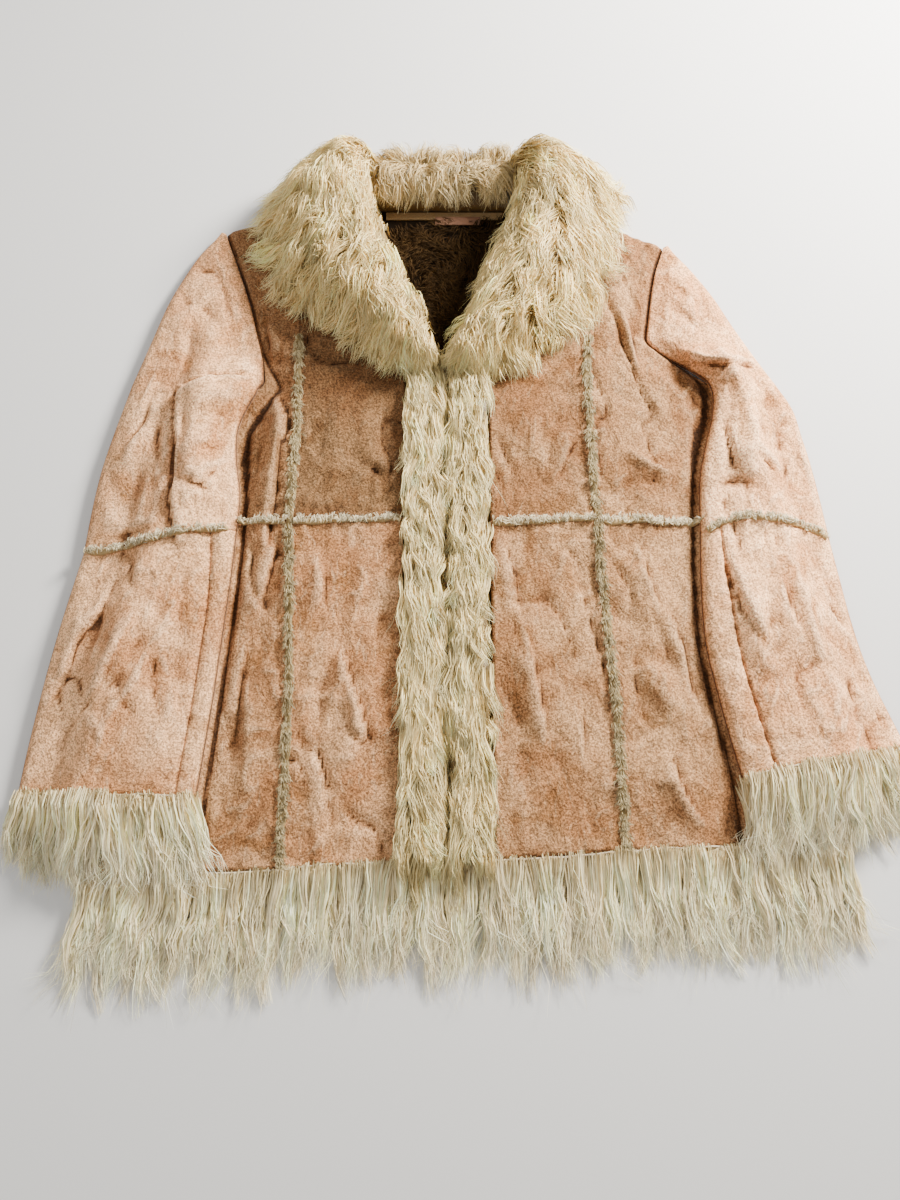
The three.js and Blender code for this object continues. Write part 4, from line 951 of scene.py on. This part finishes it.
def fringe_fields(roots, heading, reach, rng, strands, extra, depth):
    """The dense locks of a fringe, and the thin curled tips that reach past them."""
    locks = style(strands=strands, spread=8.0, gather=0.66, wave=3.0, wavelength=44, bend=13,
                  stray=4, width=1.15, lift=3.5, fall=0.22, depth=depth, colours=FRINGE_FUR)
    tips = style(strands=extra, spread=6, gather=0.75, wave=4.6, wavelength=30, bend=26, stray=12,
                 width=0.6, lift=3.0, fall=0.22, depth=depth, colours=FRINGE_FUR)
    length = reach * rng.uniform(0.86, 1.06, len(roots))
    return [(roots, heading, length, locks), (roots, heading, length * 1.12, tips)]


def build_hem(name, from_x, to_x, reach, clumps, floor, depth, seed, material):
    rng = np.random.default_rng(seed)
    x = mix(from_x, to_x, (np.arange(clumps) + rng.uniform(0.1, 0.9, clumps)) / clumps)
    y = hem_y(x) - rng.uniform(3, 9, clumps)
    heading = np.radians(-90 + 0.03 * x + rng.normal(0, 5, clumps))
    fields = fringe_fields(np.stack([x, y], 1), heading, reach, rng, 66, 20, depth)
    strip_x = np.linspace(from_x, to_x, 120)[None, :] + np.zeros((3, 1))
    strip_y = hem_y(strip_x) - FRINGE_ROWS
    bottom = np.stack([strip_x, strip_y, strip_x * 0 + floor], 2)
    top = bottom + np.array([0, 0, WALL])
    stamp(top)
    obj = hair_object(f"{name}_locks", fields, material, [(top, bottom)])
    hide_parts(name)
    return obj


def cuff_way(side):
    """The direction out of a sleeve at its cuff, of length 1."""
    before, last = (np.array(row) for row in SLEEVES[side]["lower"][-2:])
    way = last[:2] + last[2:4] - before[:2] - before[2:4]
    return way / np.hypot(*way)


def cuff_place(side, u, out):
    """Places at shares u across a cuff and this far out of the sleeve."""
    x, y = row_place(SLEEVES[side]["lower"][-1], u)
    way = cuff_way(side)
    return x + way[0] * out, y + way[1] * out


def cuff_strip(side, level):
    """The closed strip that a cuff's fringe grows on."""
    share = np.linspace(0, 1, 50)[None, :] + np.zeros((3, 1))
    x, y = cuff_place(side, share, FRINGE_ROWS)
    bulge = WALL + 0.6 + SLEEVE_LOFT * 0.8 * np.sin(np.pi * share) ** 0.8
    low = sleeve_floor(side, x, y) + (bulge if level else 0) + 0.2
    thick = 1 + 3.6 * rolled(np.minimum(share, 1 - share) * 140)
    top = np.stack([x, y, low + thick], 2)
    stamp(top)
    return top, np.stack([x, y, low], 2)


def build_cuff(side, level, material):
    """The fringe of the under side of a cuff, level 0, or of its top, level 1."""
    rng = np.random.default_rng(71 + level + (2 if side == "left" else 0))
    clumps = 29
    u = (np.arange(clumps) + rng.uniform(0.1, 0.9, clumps)) / clumps
    x, y = cuff_place(side, u, rng.uniform(1, 8, clumps))
    way = cuff_way(side)
    fan = BODY[side]["sign"] * mix(-16, -3, u)
    heading = math.atan2(way[1], way[0]) + np.radians(fan + rng.normal(0, 6, clumps))
    reach, depth = (68, 7.0) if level else (74, 3.0)
    reach = reach * (1 - 0.2 * smooth((u - 0.7) / 0.3))
    fields = fringe_fields(np.stack([x, y], 1), heading, reach, rng, 56, 16, depth)
    name = f"cuff_fur_{side}_{('under', 'top')[level]}"
    obj = hair_object(f"{name}_locks", fields, material, [cuff_strip(side, level)])
    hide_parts(name)
    return obj


# Raw fleece along the seams

def measured(points):
    """A line of (x, y) as a function of the distance along it, and its length."""
    at = np.concatenate([[0], np.cumsum(np.hypot(*np.diff(points, axis=0).T))])
    return lambda s: (np.interp(s, at, points[:, 0]), np.interp(s, at, points[:, 1])), at[-1]


def tuft_field(line, length, seed, upright):
    """Short tufts that lie along a line, or stand up from it."""
    rng = np.random.default_rng(seed)
    clumps = int(length * 1.4)
    where = rng.uniform(0, length, clumps)
    x, y = line(where)
    along = np.arctan2(line(where + 2)[1] - line(where - 2)[1],
                       line(where + 2)[0] - line(where - 2)[0])
    off = rng.uniform(-3.4, 3.4, clumps) * (0.7 if upright else 1.0)
    roots = np.stack([x - np.sin(along) * off, y + np.cos(along) * off], 1)
    if upright:
        heading = np.radians(90 + rng.normal(0, 34, clumps))
    else:
        heading = along + np.radians(rng.normal(0, 16, clumps)) + np.sign(off) * 0.3
    tufts = style(strands=5, points=4, spread=2.0, gather=0.2, wave=0.6, wavelength=7, bend=30,
                  stray=16, lift=0.5, depth=0.9, fall=1.5, width=0.7, under=2.0,
                  colours=PALE_FLEECE if upright else FLEECE)
    return roots, heading, rng.uniform(3.5, 7.0, clumps), tufts


def fleece_ridge(line, length, seed, upright):
    """The low ridge under the tufts, of uneven width, on what lies below it."""
    s = np.linspace(0, length, max(8, int(length / 3)))
    x, y = (c[:, None] for c in line(s))
    a = np.arctan2(np.gradient(y[:, 0]), np.gradient(x[:, 0]))[:, None]
    half = (2.3 if upright else 3.2) + 1.2 * noise(s, s * 0, 8.0, seed)
    across = np.array([[-1.0, -0.6, 0.0, 0.6, 1.0]]) * half[:, None]
    x, y = x - np.sin(a) * across, y + np.cos(a) * across
    ground = height_at(x, y)
    crown = np.array([[0.2, 1.1, 1.3, 1.1, 0.2]]) + 0.5 * noise(x, y, 5.0, 81)
    top = np.stack([x, y, ground + crown], 2)
    stamp(top)
    return top, np.stack([x, y, ground - 1.5], 2)


def fleece_strip(name, points, material, upright=False):
    """Raw fleece along a line of (x, y): tufts over a low ridge."""
    line, length = measured(points)
    seed = sum(map(ord, name))
    field = tuft_field(line, length, seed, upright)
    ridge = fleece_ridge(line, length, seed, upright)
    obj = hair_object(f"{name}_tufts", [field], material, [ridge])
    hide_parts(name)
    return obj


def build_fleece(side, material):
    sign, curves = BODY[side]["sign"], CURVES[side]
    y = np.linspace(178, hem_end(side, "seam"), 80)
    fleece_strip(f"fleece_{side}_front_seam", np.stack([curves["seam"](y), y], 1), material)
    band_x, seam_x, cover_x = (float(curves[key](WAIST_Y)) for key in ("neck", "seam", "cover"))

    def level(from_x, to_x):
        x = np.linspace(from_x, to_x, 30)
        return np.stack([x, WAIST_Y + 2.0 * noise(x, x * 0, 24.0, 83)], 1)

    centre = level(band_x + sign * 2, seam_x - sign * 4)
    fleece_strip(f"fleece_{side}_waist_centre", centre, material, True)
    outside = level(seam_x + sign * 4, cover_x + sign * 3)
    fleece_strip(f"fleece_{side}_waist_side", outside, material, True)
    x, y = row_place(SLEEVES[side]["lower"][0], np.linspace(0.04, 0.96, 40))
    elbow = np.stack([x, y + 2.4 * noise(x, x * 0, 20.0, 84)], 1)
    fleece_strip(f"fleece_{side}_elbow", elbow, material, True)


# The lining inside the neck, and the narrow pale edge turned up along the hem and cuffs

def build_lining(material):
    v, u = np.meshgrid(np.linspace(0, 1, 60), np.linspace(0, 1, 40), indexing="ij")
    y = mix(160, 322, v)
    x = mix(CURVES["left"]["neck"](y) - 5, CURVES["right"]["neck"](y) + 5, u)
    top = np.stack([x, y, x * 0 + FRONT_FLOOR - 0.05], 2)
    stamp(top)
    rng = np.random.default_rng(91)
    clumps = 430
    u, v = scattered(rng, clumps)
    y = mix(162, 304, v ** 0.8)
    x = mix(CURVES["left"]["neck"](y) + 1, CURVES["right"]["neck"](y) - 1, u)
    swirl = 3.2 * noise(x, y, 34.0, 92) - 1.2
    short = style(strands=12, points=4, spread=5.5, gather=0.35, wave=1.2, wavelength=11, bend=40,
                  stray=20, lift=1.8, depth=2.4, fall=1.2, width=0.8, colours=PILE)
    fields = [(np.stack([x, y], 1), swirl, rng.uniform(9, 16, clumps), short)]
    obj = hair_object("lining_pile", fields, material, [(top, top - np.array([0, 0, 0.2]))])
    return obj


def bead(name, points, width, material):
    """A thin rounded cord of turned edge along points (x, y, z)."""
    ahead = np.gradient(points, axis=0)
    side = np.stack([-ahead[:, 1], ahead[:, 0], ahead[:, 0] * 0], 1)
    side /= np.linalg.norm(side, axis=1, keepdims=True)
    turn = np.linspace(0, 2 * np.pi, 9)[:-1]
    flat = np.cos(turn)[None, :, None] * side[:, None, :]
    up = 0.8 * np.sin(turn)[None, :, None] * np.array([0.0, 0.0, 1.0])
    ring = points[:, None, :] + width * (flat + up)
    count, around = ring.shape[:2]
    index = np.arange(count * around).reshape(count, around)
    after = np.roll(index, -1, 1)
    faces = np.stack([index[:-1], after[:-1], after[1:], index[1:]], 2).reshape(-1, 4)
    return new_object(name, ring.reshape(-1, 3), faces, material)


def build_edges(side, from_x, to_x, material):
    x = np.linspace(from_x, to_x, 120)
    y = hem_y(x) - 0.6 + 0.7 * noise(x, x * 0, 12.0, 95)
    hem = np.stack([x, y, height_at(x, y + 3) - 0.6], 1)
    x, y = row_place(SLEEVES[side]["lower"][-1], np.linspace(0.01, 0.99, 90))
    y += 0.7 * noise(x, y, 12.0, 96)
    cuff = np.stack([x, y, height_at(x, y + 3) - 0.6], 1)
    for name, points in (("hem", hem), ("cuff", cuff)):
        bead(f"{name}_edge_{side}", points, 0.9, material)


# Materials

class Nodes:
    """A material and short ways to add and join its nodes."""

    def __init__(self, name):
        self.material = bpy.data.materials.new(name)
        self.material.use_nodes = True
        self.tree = self.material.node_tree
        self.shader = self.tree.nodes["Principled BSDF"]
        self.place = self.tree.nodes.new("ShaderNodeTexCoord").outputs["Object"]

    def put(self, socket, value):
        """Joins an output to a socket, or sets the socket to a number or a colour."""
        if hasattr(value, "is_linked"):
            self.tree.links.new(value, socket)
        else:
            socket.default_value = (*value, 1.0) if isinstance(value, tuple) else value

    def finish(self, **values):
        for name, value in values.items():
            self.put(self.shader.inputs[name.replace("_", " ")], value)
        return self.material

    def noise(self, scale, detail=2.0, rough=0.5, distortion=0.0, stretch=None):
        node = self.tree.nodes.new("ShaderNodeTexNoise")
        node.inputs["Scale"].default_value = scale
        node.inputs["Detail"].default_value = detail
        node.inputs["Roughness"].default_value = rough
        node.inputs["Distortion"].default_value = distortion
        place = self.place
        if stretch:
            mapping = self.tree.nodes.new("ShaderNodeMapping")
            mapping.inputs["Scale"].default_value = stretch
            self.put(mapping.inputs["Vector"], place)
            place = mapping.outputs["Vector"]
        self.put(node.inputs["Vector"], place)
        return node.outputs["Fac"]

    def ramp(self, source, low, high, to_low=0.0, to_high=1.0):
        node = self.tree.nodes.new("ShaderNodeMapRange")
        node.interpolation_type = "SMOOTHSTEP"
        keys = ("Value", "From Min", "From Max", "To Min", "To Max")
        for key, value in zip(keys, (source, low, high, to_low, to_high)):
            self.put(node.inputs[key], value)
        return node.outputs["Result"]

    def blend(self, factor, a, b, mode="MIX"):
        node = self.tree.nodes.new("ShaderNodeMix")
        node.data_type = "RGBA"
        node.blend_type = mode
        colours = [socket for socket in node.inputs if socket.type == "RGBA"]
        self.put(node.inputs[0], factor)
        self.put(colours[0], a)
        self.put(colours[1], b)
        return next(socket for socket in node.outputs if socket.type == "RGBA")

    def attribute(self, name):
        node = self.tree.nodes.new("ShaderNodeAttribute")
        node.attribute_name = name
        return node.outputs["Color"]

    def bump(self, height, distance, strength, normal=None):
        node = self.tree.nodes.new("ShaderNodeBump")
        node.inputs["Strength"].default_value = strength
        node.inputs["Distance"].default_value = distance
        self.put(node.inputs["Height"], height)
        if normal:
            self.put(node.inputs["Normal"], normal)
        return node.outputs["Normal"]


def suede_material(name, shaded):
    """Dyed suede; where asked, painted shade in hollows and gaps and painted highlight with rubbed
    wear on ridges, from the relief that its mesh carries, and each panel's dye and painted light.
    """
    n = Nodes(name)
    patches = n.ramp(n.noise(13, 4, 0.6, 0.6), 0.36, 0.66)
    colour = n.blend(patches, SUEDE_MID, SUEDE_LIGHT)
    rust = n.ramp(n.noise(22, 3, 0.6, 1.0), 0.50, 0.72, 0.0, 0.66)
    colour = n.blend(rust, colour, SUEDE_OCHRE)
    dark = n.ramp(n.noise(75, 5, 0.68, 0.8), 0.50, 0.74, 0.0, 0.48)
    colour = n.blend(dark, colour, SUEDE_DARK_AND_SHADE)
    rubs = n.ramp(n.noise(120, 4, 0.62, 1.4, (1.0, 0.35, 1.0)), 0.52, 0.70, 0.0, 0.36)
    colour = n.blend(rubs, colour, SUEDE_RUB_AND_HIGHLIGHT)
    if shaded:
        height = n.attribute("relief")
        # Painted shade: hollows darker by their relief, the deepest gaps near black
        colour = n.blend(n.ramp(height, 0.0, 0.42, 0.78, 0.0), colour, SUEDE_DARK_AND_SHADE)
        colour = n.blend(n.ramp(height, 0.0, 0.12, 0.75, 0.0), colour, SUEDE_GAP_SHADE)
        # Ridges lighter: painted highlight together with rubbed wear
        colour = n.blend(n.ramp(height, 0.56, 0.90, 0.0, 0.40), colour, SUEDE_RUB_AND_HIGHLIGHT)
    speckle = n.ramp(n.noise(560, 4, 0.85), 0.41, 0.60, 0.42, 1.46)
    colour = n.blend(1.0, colour, speckle, "MULTIPLY")
    if shaded:
        # Each panel's dye and painted light and shade
        colour = n.blend(1.0, colour, n.attribute("dye_and_light"), "MULTIPLY")
        colour = n.blend(1.0, colour, (2.0, 2.0, 2.0), "MULTIPLY")
    fine = n.bump(n.noise(60, 4, 0.6, 1.2, (1.0, 0.6, 1.0)), 0.006, 0.5)
    grain = n.bump(n.noise(200, 5, 0.7), 0.0016, 0.6, fine)
    nap = n.bump(n.noise(1300, 2, 0.6), 0.0004, 0.6, grain)
    return n.finish(Base_Color=colour, Roughness=0.95, Specular_IOR_Level=0.12, Sheen_Weight=0.12,
                    Sheen_Roughness=0.5, Sheen_Tint=(1.0, 0.80, 0.62), Normal=nap)


def hair_material(name, roughness, sheen, gloss=0.3):
    n = Nodes(name)
    tone = n.ramp(n.noise(55, 3, 0.6), 0.3, 0.7, 0.86, 1.12)
    colour = n.blend(1.0, n.attribute("hair"), tone, "MULTIPLY")
    return n.finish(Base_Color=colour, Roughness=roughness, Specular_IOR_Level=gloss,
                    Sheen_Weight=sheen, Sheen_Roughness=0.4, Sheen_Tint=(1.0, 0.86, 0.60))


def plain_material(name, colour, scale, spread=0.16):
    n = Nodes(name)
    tone = n.ramp(n.noise(scale, 4, 0.65), 0.3, 0.7, 1 - spread, 1 + spread)
    grain = n.bump(n.noise(scale * 5, 3, 0.6), 0.0005, 0.6)
    return n.finish(Base_Color=n.blend(1.0, colour, tone, "MULTIPLY"), Roughness=0.9,
                    Specular_IOR_Level=0.2, Normal=grain)


def tape_material():
    n = Nodes("neck_tape")
    weave = n.noise(900, 1, 0.5, 0.0, (2.2, 0.7, 1.0))
    tone = n.ramp(weave, 0.35, 0.65, 0.78, 1.14)
    return n.finish(Base_Color=n.blend(1.0, TAPE_COLOUR, tone, "MULTIPLY"), Roughness=0.85,
                    Specular_IOR_Level=0.2, Normal=n.bump(weave, 0.0004, 0.7))


def dress(node, material):
    """Gives a carried-over CAD node a material of the scene."""
    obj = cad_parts[node]
    obj.data.materials.clear()
    obj.data.materials.append(material)


# The flat size of each suede panel in metres, as measured on the panels modelled here: its width
# and length, and its area in square metres
CUTS = {
    "front_left_centre_upper": (0.125, 0.341, 0.032),
    "front_left_centre_lower": (0.100, 0.293, 0.029),
    "front_left_side_upper": (0.100, 0.319, 0.021),
    "front_left_side_lower": (0.161, 0.299, 0.039),
    "front_right_centre_upper": (0.123, 0.339, 0.031),
    "front_right_centre_lower": (0.105, 0.286, 0.030),
    "front_right_side_upper": (0.141, 0.311, 0.029),
    "front_right_side_lower": (0.190, 0.279, 0.044),
    "sleeve_left_top_upper": (0.155, 0.326, 0.035),
    "sleeve_left_top_lower": (0.152, 0.225, 0.030),
    "sleeve_left_under_upper": (0.155, 0.326, 0.032),
    "sleeve_left_under_lower": (0.172, 0.227, 0.036),
    "sleeve_right_top_upper": (0.155, 0.299, 0.026),
    "sleeve_right_top_lower": (0.150, 0.215, 0.025),
    "sleeve_right_under_upper": (0.155, 0.299, 0.023),
    "sleeve_right_under_lower": (0.170, 0.221, 0.033),
}


def declare_cloth():
    """Runs through each panel's cut, sorted by what it lies on, and does nothing with it."""
    for name, (width, length, area) in CUTS.items():
        part, side = name.split("_")[:2]
        if part == "front":
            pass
        elif "top" in name:
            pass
        else:
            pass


# The floor, the camera and the light

def build_stage():
    bpy.ops.mesh.primitive_plane_add(size=12, location=(0, 0, 0))
    floor = bpy.context.object
    floor.name = "floor"
    floor.data.materials.append(Nodes("floor").finish(Base_Color=FLOOR_COLOUR, Roughness=0.9))


def add_light(name, place, size, power, colour=(1, 1, 1)):
    data = bpy.data.lights.new(name, "AREA")
    data.size = size
    data.energy = power
    data.color = colour
    light = bpy.data.objects.new(name, data)
    light.location = place
    light.rotation_euler = (-Vector(place)).to_track_quat("-Z", "Y").to_euler()
    bpy.context.scene.collection.objects.link(light)


def add_camera():
    data = bpy.data.cameras.new("camera")
    data.lens = CAMERA["lens"]
    data.sensor_width = CAMERA["sensor"]
    camera = bpy.data.objects.new("camera", data)
    camera.location = CAMERA["place"]
    camera.rotation_euler = (math.radians(CAMERA["tilt"]), 0, 0)
    bpy.context.scene.collection.objects.link(camera)
    bpy.context.scene.camera = camera


def set_world():
    world = bpy.data.worlds.new("studio")
    world.use_nodes = True
    background = world.node_tree.nodes["Background"]
    background.inputs["Color"].default_value = (1.0, 0.985, 0.96, 1.0)
    background.inputs["Strength"].default_value = 0.38
    bpy.context.scene.world = world


# The coat
suede = suede_material("suede", True)
fur = hair_material("long_fur", 0.5, 0.2, 0.35)
fleece = hair_material("raw_fleece", 0.85, 0.15)
pile = hair_material("lining_pile", 0.9, 0.0, 0.08)
turned = plain_material("turned_edge", EDGE_COLOUR, 400)
dress("back", suede_material("suede_back", False))
dress("neck_tape", tape_material())
dress("neck_tab", plain_material("neck_tab", TAB_COLOUR, 300))

cloth = {**build_front("left", suede), **build_front("right", suede)}
for side_name in ("left", "right"):
    cloth.update(build_sleeve(side_name, suede))
    build_fleece(side_name, fleece)
build_lining(pile)
build_edges("left", -200, -37, turned)
build_edges("right", 41, 240, turned)
build_hem("hem_fur_back", -290, 326, 92, 68, 0.0, 3.0, 101, fur)
build_hem("hem_fur_front_left", -288, 0, 76, 34, FRONT_FLOOR, 6.0, 102, fur)
build_hem("hem_fur_front_right", 2.4, 324, 76, 38, FRONT_FLOOR, 6.0, 103, fur)
for side_name in ("left", "right"):
    build_cuff(side_name, 0, fur)
    build_cuff(side_name, 1, fur)
    build_band(side_name, fur)
build_collar_back(fur)
for side_name in ("left", "right"):
    build_collar(side_name, fur)

build_stage()
declare_cloth()
add_light("key", (0.90, 0.82, 0.62), 0.35, 80, (1.0, 0.97, 0.92))
add_light("fill", (-1.2, 0.3, 1.6), 1.6, 14)
add_camera()
set_world()
